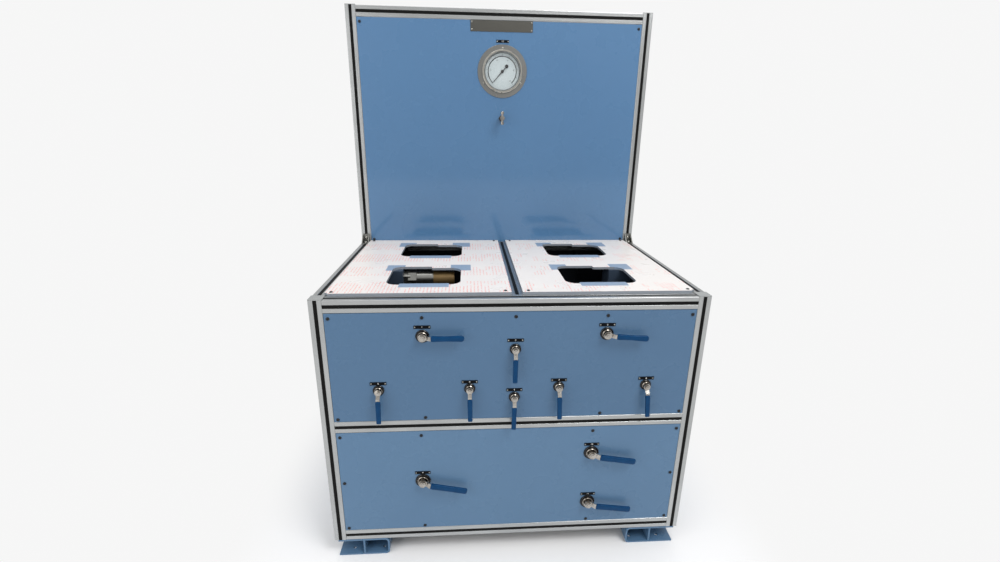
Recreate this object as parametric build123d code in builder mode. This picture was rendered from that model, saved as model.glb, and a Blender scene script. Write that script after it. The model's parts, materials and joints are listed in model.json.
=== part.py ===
from build123d import *
import os
from collections import namedtuple
from itertools import pairwise
from math import atan2, cos, radians, sin, tan

# Free-standing valve test bench, in millimetres. The origin is the centre of its footprint on the floor,
# +X to the operator's right, -Y towards the operator, +Z up.
os.makedirs("parts", exist_ok=True)

# ---------------------------------------------------------------- driving dimensions: frame
width = 1200.0              # outside of the side posts
depth = 793.0               # front of the front posts to the back of the rear posts
cabinet_height = 870.0      # underside of the bottom rails to the top of the deck rails
backboard_height = 923.0    # top of the deck rails to the top of the backboard frame
middle_rail_height = 445.0  # underside of the frame to the centre of the middle rail
divider_x = 10.0            # centre of the rail between the two deck plates

profile = 40.0              # side of the slotted aluminium section
profile_corner = 2.5
slot_mouth = 10.0
slot_mouth_bevel = 1.0
slot_lip = 4.0
slot_cavity = 20.0
slot_cavity_height = 4.0
slot_floor = 10.0
slot_depth = 12.0
core_bore = 6.8
cover_gap = 0.1             # slot cover to the lips of its slot
cover_thickness = 2.0
cap_thickness = 2.5
cap_chamfer = 0.8

# ---------------------------------------------------------------- driving dimensions: skids
skid_height = 66.0
skid_width = 172.0
skid_inset = 12.0           # side of the frame to the open edge of a skid
skid_plate = 6.0
skid_bend = 16.0            # outside radius of the folded corners
floor_hole_radius = 5.5
floor_hole_setback = 26.0   # end of a skid to its floor holes
outer_hole_inset = 47.0     # open edge of a skid to its outer floor holes
inner_hole_inset = 23.0     # closed side of a skid to its inner floor holes
skid_bolt_shares = (0.15, 0.5, 0.85)    # of the depth of the frame

# ---------------------------------------------------------------- driving dimensions: panels and deck
panel_thickness = 3.0
panel_recess = 1.0          # face of the frame to the face of a panel
panel_gap = 0.8             # edge of a panel to the rails around it
screw_side = 12.5           # post beside a panel to its screws
screw_drop = 17.0           # rail above a panel to its top screws
screw_rise = 9.0            # rail below a panel to its bottom screws
screw_hole_radius = 2.7
screw_room = 6.0            # deck plate to the lowest screw of the backboard
block_thickness = 12.0
deck_plate = 8.0
deck_overlap = 3.0          # deck plate over the lip of a rail
deck_screw_inset = 18.0     # side edge of a deck plate to its screws
deck_screw_setback = 14.0   # front or back edge of a deck plate to its screws
back_gap = 0.3              # deck plate to the backboard frame
corner_notch = 6.0          # deck plate corner cut back from the cap of a front post
opening_width = 236.0
opening_depth = 188.0       # depth of the shallow half of an opening
opening_step = 18.0         # how much further back the deep half goes
opening_deep_width = 133.0
opening_corner = 35.0
opening_step_corner = 4.0
left_opening_x = -281.0
right_opening_x = 295.0
opening_pitch = 353.0       # front opening to rear opening
opening_front_setback = 81.0  # front edge of a deck plate to the front edge of its first opening
floor_thickness = 3.0
floor_overlap = 10.0

# ---------------------------------------------------------------- driving dimensions: brackets
bracket_leg = 38.0
bracket_width = 30.0
bracket_wall = 5.0
bracket_gusset = 4.0
bolt_hole_radius = 4.4

# ---------------------------------------------------------------- driving dimensions: gauge and bleed valve
gauge_drop = 224.0          # top of the backboard to the centre of the gauge
flange_diameter = 198.0
flange_thickness = 3.0
flange_chamfer = 1.0
flange_screw_circle = 172.0
flange_screw_count = 3
flange_screw_start = 90.0   # direction of the first screw of the flange
case_diameter = 152.0
case_wall = 2.0
dial_ledge = 4.0            # width of the step that carries the dial
case_back = 30.0            # backboard face to the back of the case
case_front = 10.0           # backboard face to the rim of the case
bezel_diameter = 161.0
bezel_front = 16.0
bezel_lip = 3.0
bezel_opening = 146.0
bezel_chamfer = 2.0
glass_thickness = 3.0
dial_thickness = 1.0
gauge_fit = 0.1             # clearance between parts of the gauge
spindle_radius = 1.5
running_clearance = 0.05
pointer_length = 58.0
pointer_tail = 26.0
pointer_tail_radius = 7.0
pointer_tail_width = 2.4
pointer_root_width = 4.0
pointer_neck_width = 2.0    # where the pointed end starts
pointer_point = 8.0         # length of the pointed end
pointer_thickness = 1.0
pointer_lift = 3.0          # dial to pointer
pointer_hub_radius = 6.0
pointer_hub_height = 2.6
pointer_room = 4.0          # pointer hub to the glass
pointer_start = 228.0       # direction of zero, anticlockwise from the operator's right
socket_side = 20.0
socket_length = 14.0
socket_drop = 32.0          # centre of the gauge to its pressure socket
elbow_length = 18.0
line_radius = 5.0
bleed_drop = 178.0          # centre of the gauge to the bleed valve
bleed_nut_across = 22.0
bleed_nut_height = 9.0
bleed_neck_radius = 7.0
bleed_neck_length = 26.0
bleed_spindle_radius = 3.5
bleed_bar_radius = 4.5
bleed_knob_radius = 7.0
bleed_knob_length = 10.0
bleed_knob_chamfer = 2.0
bleed_hub_radius = 9.0
bleed_bar_length = 51.0
bleed_bar_standoff = 42.0
bleed_stem_depth = 20.0

# ---------------------------------------------------------------- driving dimensions: plates
tag_width = 50.0
tag_height = 10.0
tag_thickness = 1.5
gauge_tag_lift = 110.0      # centre of the gauge to the tag above it
nameplate_width = 245.0
nameplate_height = 40.0
nameplate_thickness = 1.5
nameplate_gap = 0.5         # nameplate to the rail above it

# ---------------------------------------------------------------- driving dimensions: lever valves
ValveSize = namedtuple("ValveSize", "ring bonnet stem nut lever length grip waist tip tip_corner body")
small = ValveSize(ring=35.0, bonnet=25.0, stem=8.0, nut=13.0, lever=12.0, length=102.0,
                  grip=16.0, waist=14.6, tip=15.0, tip_corner=4.0, body=36.0)
medium = ValveSize(ring=41.0, bonnet=30.0, stem=10.0, nut=17.0, lever=13.0, length=122.0,
                   grip=18.5, waist=15.6, tip=20.0, tip_corner=9.0, body=42.0)
large = ValveSize(ring=50.0, bonnet=37.0, stem=12.0, nut=19.0, lever=17.0, length=145.0,
                  grip=21.5, waist=20.0, tip=21.0, tip_corner=7.0, body=50.0)

Valve = namedtuple("Valve", "size x panel row tag_lift angle")
instrument_x = 4.0          # centre line of the gauge and of the valve pattern
valve_pitch = 280.0         # one column of valves to the next
lower_left_x = -292.0
lower_right_x = 266.0
high_row = 0.793            # rows as shares of the height of their panel, from its lower edge
centre_high_row = 0.664
centre_low_row = 0.210
small_row = 0.301
lower_left_row = 0.506
lower_high_row = 0.738
lower_low_row = 0.221
valves = [                  # angle of the lever at rest: anticlockwise from the operator's right
    Valve(medium, instrument_x - valve_pitch, "upper", high_row, 29.0, 0.0),
    Valve(medium, instrument_x + valve_pitch, "upper", high_row, 29.0, -4.5),
    Valve(small, instrument_x, "upper", centre_high_row, 29.0, -90.5),
    Valve(small, instrument_x, "upper", centre_low_row, 25.0, -91.0),
    Valve(small, instrument_x - 1.5 * valve_pitch, "upper", small_row, 23.0, -91.0),
    Valve(small, instrument_x - 0.5 * valve_pitch, "upper", small_row, 23.0, -89.5),
    Valve(small, instrument_x + 0.5 * valve_pitch, "upper", small_row, 23.0, -88.0),
    Valve(small, instrument_x + 1.5 * valve_pitch, "upper", small_row, 23.0, -85.0),
    Valve(large, lower_left_x, "lower", lower_left_row, 31.0, -12.0),
    Valve(large, lower_right_x, "lower", lower_high_row, 32.0, -10.0),
    Valve(large, lower_right_x, "lower", lower_low_row, 31.0, -8.5),
]
ring_height = 4.5
ring_chamfer = 1.5
ring_fit = 0.3              # ring to bonnet
bonnet_height = 9.0
bonnet_chamfer = 2.0
bonnet_hole_gap = 0.5       # bonnet to its hole in the panel
packing_height = 5.0
packing_margin = 1.0        # packing nut beyond the lever nut
stem_socket_depth = 18.0    # depth of the stem in the bonnet, below the packing
stem_end_gap = 1.0
lever_gap = 0.8             # packing nut to the lever
lever_plate = 3.0
lever_rise = 7.0            # outward joggle of the lever
lever_rise_start = 1.0      # lever hub to the joggle
lever_rise_run = 9.0
lever_hub_margin = 4.0      # lever hub beyond its nut
nut_height = 6.0
stem_tip = 1.5              # stem beyond its nut
grip_start = 26.0           # stem to the start of the grip
grip_cover = 3.0            # grip beyond the lever, at its tip
grip_thickness = 9.0
grip_corner = 4.0
grip_waist_share = 0.45     # share of the grip before its waist
grip_edge = 2.2
grip_fit = 0.1
body_half = 0.8             # half the length of a valve body over its width across flats
flow_depth = 75.0           # face of a front panel to the flow line of its valves

# ---------------------------------------------------------------- driving dimensions: pipework, test stations
pipe_radius = 8.0
pipe_gap = 0.1              # end of a pipe to the fitting that it seats on
header_side = 20.0          # square manifold bars
header_overhang = 24.0
header_floor_gap = 6.0      # floor panel to the drain manifold
middle_header_row = 0.51    # share of the height of the upper panel
elbow_side = 22.0
port_across = 30.0
port_length = 16.0
port_bore = 8.5
port_bore_depth = 15.0
drain_port_x = 60.0
supply_port_x = -60.0
station_x = 407.0           # centre of the machine to the centre of a station block
station_width = 80.0
station_setback = 295.0     # front of the frame to the front of a station block
station_depth = 80.0
station_height = 70.0
fitting_drop = 37.0         # underside of the deck plates to the axis of the fitting
coupling_hex_across = 46.0
coupling_hex_length = 24.0
sleeve_radius = 23.0
sleeve_length = 81.0
brass_radius = 24.0
brass_bore = 19.0
brass_length = 74.0

# ---------------------------------------------------------------- places worked out from the sizes above
lever_front = bonnet_height + packing_height + lever_gap        # panel face to the underside of a lever
stem_length = lever_gap + packing_height + stem_socket_depth - stem_end_gap
grip_reach = lever_front + lever_rise + (lever_plate + grip_thickness) / 2 - panel_recess
nut_reach = lever_front + lever_plate + nut_height + stem_tip - panel_recess
front_reach = max(grip_reach, nut_reach)
back_reach = panel_recess + case_back + socket_length + elbow_length - profile
front_y = (front_reach - depth - back_reach) / 2                # front face of the frame
back_y = front_y + depth
backboard_y = back_y - profile                                  # front face of the backboard frame
frame_z = skid_height
deck_z = frame_z + cabinet_height
top_z = deck_z + backboard_height
half = profile / 2
post_x = width / 2 - half
front_post_y = front_y + half
rear_post_y = back_y - half
rail_length = width - 2 * profile
side_length = depth - 2 * profile
middle_z = frame_z + middle_rail_height
panel_span = {
    "upper": (middle_z + half, deck_z - profile),
    "lower": (frame_z + profile, middle_z - half),
}
inner_x = width / 2 - profile
lower_panel_low, lower_panel_high = panel_span["lower"]
upper_panel_low, upper_panel_high = panel_span["upper"]
front_panel_y = front_y + panel_recess
backboard_panel_y = backboard_y + panel_recess
flow_y = front_panel_y + flow_depth
gauge_z = top_z - gauge_drop
edge_x = inner_x - screw_side
deck_front_y = front_y + profile - deck_overlap
deck_back_y = backboard_y - back_gap


def row_height(panel, share):
    """Height above the floor of a row on the upper or the lower front panel."""
    low, high = panel_span[panel]
    return low + share * (high - low)


def facing_front(x, y, z, angle=0.0):
    """Plane that faces the operator, its x axis turned by angle from the operator's right."""
    turn = radians(angle)
    return Plane(origin=(x, y, z), x_dir=(cos(turn), 0, sin(turn)), z_dir=(0, -1, 0))


def bar(start, direction, length):
    """One length of the slotted aluminium section."""
    with BuildPart() as piece:
        with BuildSketch(Plane(origin=start, z_dir=direction)):
            RectangleRounded(profile, profile, profile_corner)
            with PolarLocations(half, 4):
                Polygon(
                    (0, -slot_mouth / 2 - slot_mouth_bevel),
                    (0, slot_mouth / 2 + slot_mouth_bevel),
                    (-slot_mouth_bevel, slot_mouth / 2),
                    (-slot_lip, slot_mouth / 2),
                    (-slot_lip, slot_cavity / 2),
                    (-slot_lip - slot_cavity_height, slot_cavity / 2),
                    (-slot_depth, slot_floor / 2),
                    (-slot_depth, -slot_floor / 2),
                    (-slot_lip - slot_cavity_height, -slot_cavity / 2),
                    (-slot_lip, -slot_cavity / 2),
                    (-slot_lip, -slot_mouth / 2),
                    (-slot_mouth_bevel, -slot_mouth / 2),
                    align=None,
                    mode=Mode.SUBTRACT,
                )
            Circle(core_bore / 2, mode=Mode.SUBTRACT)
        extrude(amount=length)
    return piece.part


def finish(builder, name):
    """Label a sub-part and write it."""
    builder.part.label = name
    export_step(builder.part, f"parts/{name}.step")


# ---------------------------------------------------------------- slotted frame
with BuildPart() as front_posts:
    for x in (-post_x, post_x):
        add(bar((x, front_post_y, frame_z), (0, 0, 1), cabinet_height))
finish(front_posts, "front_posts")

with BuildPart() as rear_posts:
    for x in (-post_x, post_x):
        add(bar((x, rear_post_y, frame_z), (0, 0, 1), cabinet_height + backboard_height))
finish(rear_posts, "rear_posts")

bottom_rail_z = frame_z + half
deck_rail_z = deck_z - half
top_rail_z = top_z - half
cross_rail_places = [
    (front_post_y, bottom_rail_z), (front_post_y, middle_z), (front_post_y, deck_rail_z),
    (rear_post_y, bottom_rail_z), (rear_post_y, deck_rail_z), (rear_post_y, top_rail_z),
]
with BuildPart() as cross_rails:
    for y, z in cross_rail_places:
        add(bar((-rail_length / 2, y, z), (1, 0, 0), rail_length))
finish(cross_rails, "cross_rails")

with BuildPart() as side_rails:
    for x in (-post_x, post_x):
        for z in (bottom_rail_z, deck_rail_z):
            add(bar((x, front_y + profile, z), (0, 1, 0), side_length))
finish(side_rails, "side_rails")

with BuildPart() as deck_divider_rail:
    add(bar((divider_x, front_y + profile, deck_rail_z), (0, 1, 0), side_length))
finish(deck_divider_rail, "deck_divider_rail")

# Black strips that fill the slots on the outside of the frame.
along_x, along_y, along_z = (1, 0, 0), (0, 1, 0), (0, 0, 1)
out_front, out_back, out_top = (0, -1, 0), (0, 1, 0), (0, 0, 1)
bracket_top_z = deck_z + bracket_leg
strips = []                 # start, direction, outward, length
for z in (bottom_rail_z, middle_z, deck_rail_z):
    strips.append(((-rail_length / 2, front_y, z), along_x, out_front, rail_length))
for z in (bottom_rail_z, deck_rail_z, top_rail_z):
    strips.append(((-rail_length / 2, back_y, z), along_x, out_back, rail_length))
strips.append(((-rail_length / 2, backboard_y, top_rail_z), along_x, out_front, rail_length))
strips.append(((-rail_length / 2, front_post_y, deck_z), along_x, out_top, rail_length))
strips.append(((-rail_length / 2, rear_post_y, top_z), along_x, out_top, rail_length))
strips.append(((divider_x, front_y + profile, deck_z), along_y, out_top, side_length))
for side in (-1, 1):
    x = side * post_x
    outside = (side, 0, 0)
    strips.append(((x, front_y, frame_z), along_z, out_front, cabinet_height))
    strips.append(((x, back_y, frame_z), along_z, out_back, cabinet_height + backboard_height))
    strips.append(((x, backboard_y, bracket_top_z), along_z, out_front, top_z - bracket_top_z))
    strips.append(((x, front_y + profile, deck_z), along_y, out_top, side_length - bracket_leg))
    strips.append(((side * width / 2, front_post_y, frame_z), along_z, outside, cabinet_height))
    strips.append(((side * width / 2, rear_post_y, frame_z), along_z, outside, top_z - frame_z))
    for z in (bottom_rail_z, deck_rail_z):
        strips.append(((side * width / 2, front_y + profile, z), along_y, outside, side_length))
with BuildPart() as slot_covers:
    for start, direction, outward, length in strips:
        with Locations(Plane(origin=start, x_dir=direction, z_dir=outward)):
            Box(length, slot_mouth - 2 * cover_gap, cover_thickness,
                align=(Align.MIN, Align.CENTER, Align.MAX))
finish(slot_covers, "slot_covers")

with BuildPart() as post_caps:
    for y, z in ((front_post_y, deck_z), (rear_post_y, top_z)):
        for x in (-post_x, post_x):
            with BuildSketch(Plane.XY.offset(z)):
                with Locations((x, y)):
                    RectangleRounded(profile, profile, profile_corner)
    extrude(amount=cap_thickness)
    chamfer(post_caps.faces().filter_by(Axis.Z).sort_by(Axis.Z)[-2:].edges(), cap_chamfer)
finish(post_caps, "post_caps")


# ---------------------------------------------------------------- brackets and frame bolts
def bracket():
    """Die-cast corner bracket: legs along +X and +Z from the origin, gussets at both sides."""
    with BuildPart() as piece:
        with BuildSketch(Plane.XZ.offset(-bracket_width / 2)):
            Polygon((0, 0), (bracket_leg, 0), (bracket_leg, bracket_wall), (bracket_wall, bracket_leg),
                    (0, bracket_leg), align=None)
        extrude(amount=bracket_width)
        with BuildSketch(Plane.XZ.offset(-bracket_width / 2 + bracket_gusset)):
            Polygon((bracket_wall, bracket_wall), (bracket_leg, bracket_wall),
                    (bracket_leg, bracket_leg), (bracket_wall, bracket_leg), align=None)
        extrude(amount=bracket_width - 2 * bracket_gusset, mode=Mode.SUBTRACT)
        bolt_place = (bracket_leg + bracket_wall) / 2
        with Locations(Plane.XY.offset(bracket_wall) * Pos(bolt_place, 0, 0),
                       Plane(origin=(bracket_wall, 0, bolt_place), z_dir=(1, 0, 0))):
            Hole(bolt_hole_radius, bracket_wall)
    return piece.part


bracket_corners = []        # corner, first leg, second leg
for side in (-1, 1):
    x = side * post_x
    bracket_corners.append(((x, backboard_y, deck_z), (0, -1, 0), (0, 0, 1)))
    for z, up in ((frame_z + profile, 1), (deck_z - profile, -1)):
        bracket_corners.append(((x, front_y + profile, z), (0, 1, 0), (0, 0, up)))
        bracket_corners.append(((x, backboard_y, z), (0, -1, 0), (0, 0, up)))
with BuildPart() as corner_brackets:
    with Locations(*[Plane(origin=corner, x_dir=along, z_dir=up) for corner, along, up in bracket_corners]):
        add(bracket())
finish(corner_brackets, "corner_brackets")

# ---------------------------------------------------------------- skids
skid_centre_x = width / 2 - skid_inset - skid_width / 2
skid_bolt_ys = [front_y + depth * share for share in skid_bolt_shares]


def skid(side):
    """Folded steel channel, open to the outside, with a web along its middle."""
    closed_x = -side * skid_width / 2
    with BuildPart() as piece:
        with BuildSketch(Plane.XZ.offset(-front_y - depth)) as section:
            with Locations((side * skid_centre_x, skid_height / 2)):
                Rectangle(skid_width, skid_height)
            fillet(section.vertices().sort_by(Axis.X)[:: side][:2], skid_bend)
        extrude(amount=depth)
        with BuildSketch(Plane.XZ.offset(-front_y - depth)) as inside:
            with Locations((side * (skid_centre_x + skid_plate / 2), skid_height / 2)):
                Rectangle(skid_width - skid_plate, skid_height - 2 * skid_plate)
            fillet(inside.vertices().sort_by(Axis.X)[:: side][:2], skid_bend - skid_plate)
            with Locations((side * skid_centre_x, skid_height / 2)):
                Rectangle(skid_plate, skid_height, mode=Mode.SUBTRACT)
        extrude(amount=depth, mode=Mode.SUBTRACT)
        outer_x = side * (width / 2 - skid_inset - outer_hole_inset)
        inner_hole_x = side * (width / 2 - skid_inset - skid_width + inner_hole_inset)
        floor_holes = [(x, y) for x in (outer_x, inner_hole_x)
                       for y in (front_y + floor_hole_setback, back_y - floor_hole_setback)]
        with Locations(*[Plane(origin=(x, y, skid_plate)) for x, y in floor_holes]):
            Hole(floor_hole_radius, skid_plate)
        with Locations(*[Plane(origin=(side * post_x, y, skid_height)) for y in skid_bolt_ys]):
            Hole(bolt_hole_radius, skid_plate)
    return piece.part


with BuildPart() as left_skid:
    add(skid(-1))
finish(left_skid, "left_skid")
with BuildPart() as right_skid:
    add(skid(1))
finish(right_skid, "right_skid")


# ---------------------------------------------------------------- panels
def upright_panel(low, high, face_y, screws, bonnets=(), holes=()):
    """Sheet between two posts, seen from the front, with its screw, bonnet and other round holes."""
    with BuildPart() as piece:
        centre_z = (low + high) / 2
        with BuildSketch(facing_front(0, face_y + panel_thickness, centre_z)):
            Rectangle(rail_length - 2 * panel_gap, high - low - 2 * panel_gap)
            with Locations(*[(x, z - centre_z) for x, z in screws]):
                Circle(screw_hole_radius, mode=Mode.SUBTRACT)
            for valve in bonnets:
                with Locations((valve.x, row_height(valve.panel, valve.row) - centre_z)):
                    Circle(valve.size.bonnet / 2 + bonnet_hole_gap, mode=Mode.SUBTRACT)
            for x, z, radius in holes:
                with Locations((x, z - centre_z)):
                    Circle(radius, mode=Mode.SUBTRACT)
        extrude(amount=panel_thickness)
    return piece.part


upper_columns = (instrument_x - valve_pitch, instrument_x + valve_pitch)
upper_screws = [(x, upper_panel_high - screw_drop) for x in (-edge_x, *upper_columns, instrument_x, edge_x)]
upper_screws += [(x, upper_panel_low + screw_rise) for x in (-edge_x, *upper_columns, edge_x)]
lower_screws = [(x, z) for x in (-edge_x, lower_left_x, lower_right_x, edge_x)
                for z in (lower_panel_high - screw_drop, lower_panel_low + screw_rise)]
lower_middle_z = (lower_panel_low + lower_panel_high) / 2
lower_side_screws = [(-edge_x, lower_middle_z), (edge_x, lower_middle_z)]
backboard_top_screws = [(x, top_z - profile - screw_drop) for x in (-edge_x, edge_x)]
backboard_low_z = deck_z + deck_plate + screw_room
backboard_low_screws = [(x, backboard_low_z) for x in (-edge_x, edge_x)]

upper_valves = [valve for valve in valves if valve.panel == "upper"]
lower_valves = [valve for valve in valves if valve.panel == "lower"]
with BuildPart() as upper_front_panel:
    add(upright_panel(upper_panel_low, upper_panel_high, front_panel_y, upper_screws, upper_valves))
finish(upper_front_panel, "upper_front_panel")
with BuildPart() as lower_front_panel:
    add(upright_panel(lower_panel_low, lower_panel_high, front_panel_y, lower_screws + lower_side_screws,
                      lower_valves))
finish(lower_front_panel, "lower_front_panel")

case_hole_radius = case_diameter / 2 + gauge_fit + panel_gap
bleed_z = gauge_z - bleed_drop
bleed_hole_radius = bleed_neck_radius + bonnet_hole_gap
flange_turns = [radians(flange_screw_start + 360 / flange_screw_count * i) for i in range(flange_screw_count)]
flange_screws = [(instrument_x + flange_screw_circle / 2 * cos(turn),
                  gauge_z + flange_screw_circle / 2 * sin(turn)) for turn in flange_turns]
backboard_screws = backboard_top_screws + backboard_low_screws + flange_screws
with BuildPart() as backboard_panel:
    add(upright_panel(deck_z, top_z - profile, backboard_panel_y, backboard_screws, (),
                      [(instrument_x, gauge_z, case_hole_radius),
                       (instrument_x, bleed_z, bleed_hole_radius)]))
finish(backboard_panel, "backboard_panel")

rear_screws = [(x, z) for x in (-edge_x, edge_x)
               for z in (lower_panel_low + screw_rise, upper_panel_high - screw_drop)]
pipe_hole_radius = pipe_radius + bonnet_hole_gap
middle_header_z = row_height("upper", middle_header_row)
bottom_header_z = lower_panel_low + floor_thickness + header_floor_gap + header_side / 2
rear_ports = [(drain_port_x, bottom_header_z), (supply_port_x, middle_header_z)]
rear_pipes = [(x, z, pipe_hole_radius) for x, z in rear_ports]
rear_pipes.append((instrument_x, middle_header_z, line_radius + bonnet_hole_gap))
rear_panel_y = back_y - panel_recess - panel_thickness
with BuildPart() as rear_panel:
    add(upright_panel(lower_panel_low, upper_panel_high, rear_panel_y, rear_screws, (), rear_pipes))
finish(rear_panel, "rear_panel")

side_low, side_high = lower_panel_low, upper_panel_high
side_face = width / 2 - panel_recess
side_screw_ys = (front_y + depth / 4, back_y - depth / 4)
side_screws = [(y, z) for y in side_screw_ys for z in (side_low + screw_rise, side_high - screw_drop)]
with BuildPart() as side_panels:
    for side in (-1, 1):
        with BuildSketch(Plane.YZ.offset(side * (side_face - panel_thickness / 2))):
            with Locations(((front_y + back_y) / 2, (side_low + side_high) / 2)):
                Rectangle(side_length - 2 * panel_gap, side_high - side_low - 2 * panel_gap)
            with Locations(*side_screws):
                Circle(screw_hole_radius, mode=Mode.SUBTRACT)
    extrude(amount=panel_thickness / 2, both=True)
finish(side_panels, "side_panels")

with BuildPart() as floor_panel:
    with BuildSketch(Plane.XY.offset(frame_z + profile)):
        with Locations((0, (front_y + back_y) / 2)):
            Rectangle(rail_length + 2 * floor_overlap, side_length - 2 * panel_gap)
            Rectangle(rail_length - 2 * panel_gap, side_length + 2 * floor_overlap)
        for x, y in ((-1, 1), (1, 1), (-1, -1), (1, -1)):
            corner_y = (front_y + back_y) / 2 + y * side_length / 2
            with Locations((x * post_x, corner_y)):
                Rectangle(profile + bracket_width, 2 * (bracket_leg + panel_gap), mode=Mode.SUBTRACT)
    extrude(amount=floor_thickness)
finish(floor_panel, "floor_panel")


# ---------------------------------------------------------------- deck plates
def deck_plate_part(left, right, opening_x):
    """Deck plate with a front and a rear opening, each deeper at its left than at its right."""
    left_x = -opening_width / 2
    step_x = left_x + opening_deep_width
    screw_places = [(x, y) for x in (left + deck_screw_inset, right - deck_screw_inset)
                    for y in (deck_front_y + deck_screw_setback, deck_back_y - deck_screw_setback)]
    with BuildPart() as piece:
        with BuildSketch(Plane.XY.offset(deck_z)):
            with Locations(((left + right) / 2, (deck_front_y + deck_back_y) / 2)):
                Rectangle(right - left, deck_back_y - deck_front_y)
            with Locations(*screw_places):
                Circle(screw_hole_radius, mode=Mode.SUBTRACT)
            with Locations((-inner_x, front_y + profile), (inner_x, front_y + profile)):
                Rectangle(2 * corner_notch, 2 * corner_notch, mode=Mode.SUBTRACT)
        extrude(amount=deck_plate)
        for row in (0, 1):
            low_y = deck_front_y + opening_front_setback + row * opening_pitch
            with BuildSketch(Plane(origin=(opening_x, low_y, deck_z))) as opening:
                Polygon((left_x, 0), (-left_x, 0), (-left_x, opening_depth), (step_x, opening_depth),
                        (step_x, opening_depth + opening_step), (left_x, opening_depth + opening_step),
                        align=None)
                fillet([v for v in opening.vertices() if abs(v.X - step_x) < 1], opening_step_corner)
                fillet([v for v in opening.vertices() if abs(v.X) > -left_x - 1], opening_corner)
            extrude(amount=deck_plate, mode=Mode.SUBTRACT)
    return piece.part, screw_places


left_edge = -inner_x - deck_overlap
right_edge = inner_x + deck_overlap
left_plate, left_deck_screws = deck_plate_part(left_edge, divider_x - half + deck_overlap, left_opening_x)
right_plate, right_deck_screws = deck_plate_part(divider_x + half - deck_overlap, right_edge, right_opening_x)
with BuildPart() as left_deck_plate:
    add(left_plate)
finish(left_deck_plate, "left_deck_plate")
with BuildPart() as right_deck_plate:
    add(right_plate)
finish(right_deck_plate, "right_deck_plate")

# ---------------------------------------------------------------- blocks that the panel screws pull on
def rail_blocks(planes, low_z, high_z):
    """Blocks behind a panel at its screw planes, tall enough to reach a rail that is close."""
    for plane in planes:
        to_rail = min(plane.origin.Z - low_z, high_z - plane.origin.Z)
        reach = to_rail if to_rail <= screw_drop else screw_side
        with Locations(plane.offset(-panel_thickness)):
            Box(2 * screw_side, 2 * reach, block_thickness, align=(Align.CENTER, Align.CENTER, Align.MAX))


def deck_blocks(places, depth_of_block):
    """Blocks under the deck plates."""
    with Locations(*[(x, y, deck_z) for x, y in places]):
        Box(2 * (deck_screw_inset - deck_overlap), depth_of_block, block_thickness,
            align=(Align.CENTER, Align.CENTER, Align.MAX))


deck_screws = left_deck_screws + right_deck_screws
upper_planes = [facing_front(x, front_panel_y, z) for x, z in upper_screws]
lower_planes = [facing_front(x, front_panel_y, z) for x, z in lower_screws + lower_side_screws]
backboard_planes = [facing_front(x, backboard_panel_y, z) for x, z in backboard_top_screws + backboard_low_screws]
rear_planes = [Plane(origin=(x, rear_panel_y + panel_thickness, z), x_dir=(-1, 0, 0), z_dir=out_back)
               for x, z in rear_screws]
side_planes = [Plane(origin=(side * side_face, y, z), x_dir=(0, side, 0), z_dir=(side, 0, 0))
               for side in (-1, 1) for y, z in side_screws]
with BuildPart() as panel_blocks:
    rail_blocks(upper_planes, upper_panel_low, upper_panel_high)
    rail_blocks(lower_planes, lower_panel_low, lower_panel_high)
    rail_blocks(backboard_planes, deck_z, top_z - profile)
    rail_blocks(rear_planes + side_planes, side_low, side_high)
    deck_blocks([place for place in deck_screws if place[1] < 0], 2 * (deck_screw_setback - deck_overlap))
    deck_blocks([place for place in deck_screws if place[1] > 0], 2 * (deck_screw_setback + back_gap))
finish(panel_blocks, "panel_blocks")

# ---------------------------------------------------------------- pressure gauge
gauge_front = facing_front(instrument_x, backboard_panel_y, gauge_z)
case_radius = case_diameter / 2
dial_radius = case_radius - case_wall - gauge_fit
glass_back = case_front
dial_front = glass_back - pointer_room - pointer_hub_height - pointer_thickness - pointer_lift
dial_back = dial_front - dial_thickness
case_floor = -case_back + case_wall
with BuildPart() as gauge_case:
    with Locations(gauge_front.offset(-case_back)):
        Cylinder(case_radius, case_back + case_front, align=(Align.CENTER, Align.CENTER, Align.MIN))
    with Locations(gauge_front.offset(dial_back)):
        Cylinder(case_radius - case_wall, case_front - dial_back,
                 align=(Align.CENTER, Align.CENTER, Align.MIN), mode=Mode.SUBTRACT)
    with Locations(gauge_front.offset(case_floor)):
        Cylinder(case_radius - case_wall - dial_ledge, dial_back - case_floor,
                 align=(Align.CENTER, Align.CENTER, Align.MIN), mode=Mode.SUBTRACT)
        Cylinder(pointer_hub_radius, dial_back - case_floor, align=(Align.CENTER, Align.CENTER, Align.MIN))
    with Locations(gauge_front.offset(dial_back)):
        Cylinder(spindle_radius + running_clearance, dial_back - case_floor,
                 align=(Align.CENTER, Align.CENTER, Align.MAX), mode=Mode.SUBTRACT)
    with Locations(gauge_front.offset(-case_back) * Pos(0, -socket_drop, 0)):
        Box(socket_side, socket_side, socket_length, align=(Align.CENTER, Align.CENTER, Align.MAX))
finish(gauge_case, "gauge_case")

with BuildPart() as gauge_flange:
    with BuildSketch(gauge_front):
        Circle(flange_diameter / 2)
        Circle(case_radius + gauge_fit, mode=Mode.SUBTRACT)
        with PolarLocations(flange_screw_circle / 2, flange_screw_count, start_angle=flange_screw_start):
            Circle(screw_hole_radius, mode=Mode.SUBTRACT)
    extrude(amount=flange_thickness)
    chamfer(gauge_flange.edges().group_by(Axis.Y)[0].sort_by(SortBy.RADIUS)[-1], flange_chamfer)
finish(gauge_flange, "gauge_flange")

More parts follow.
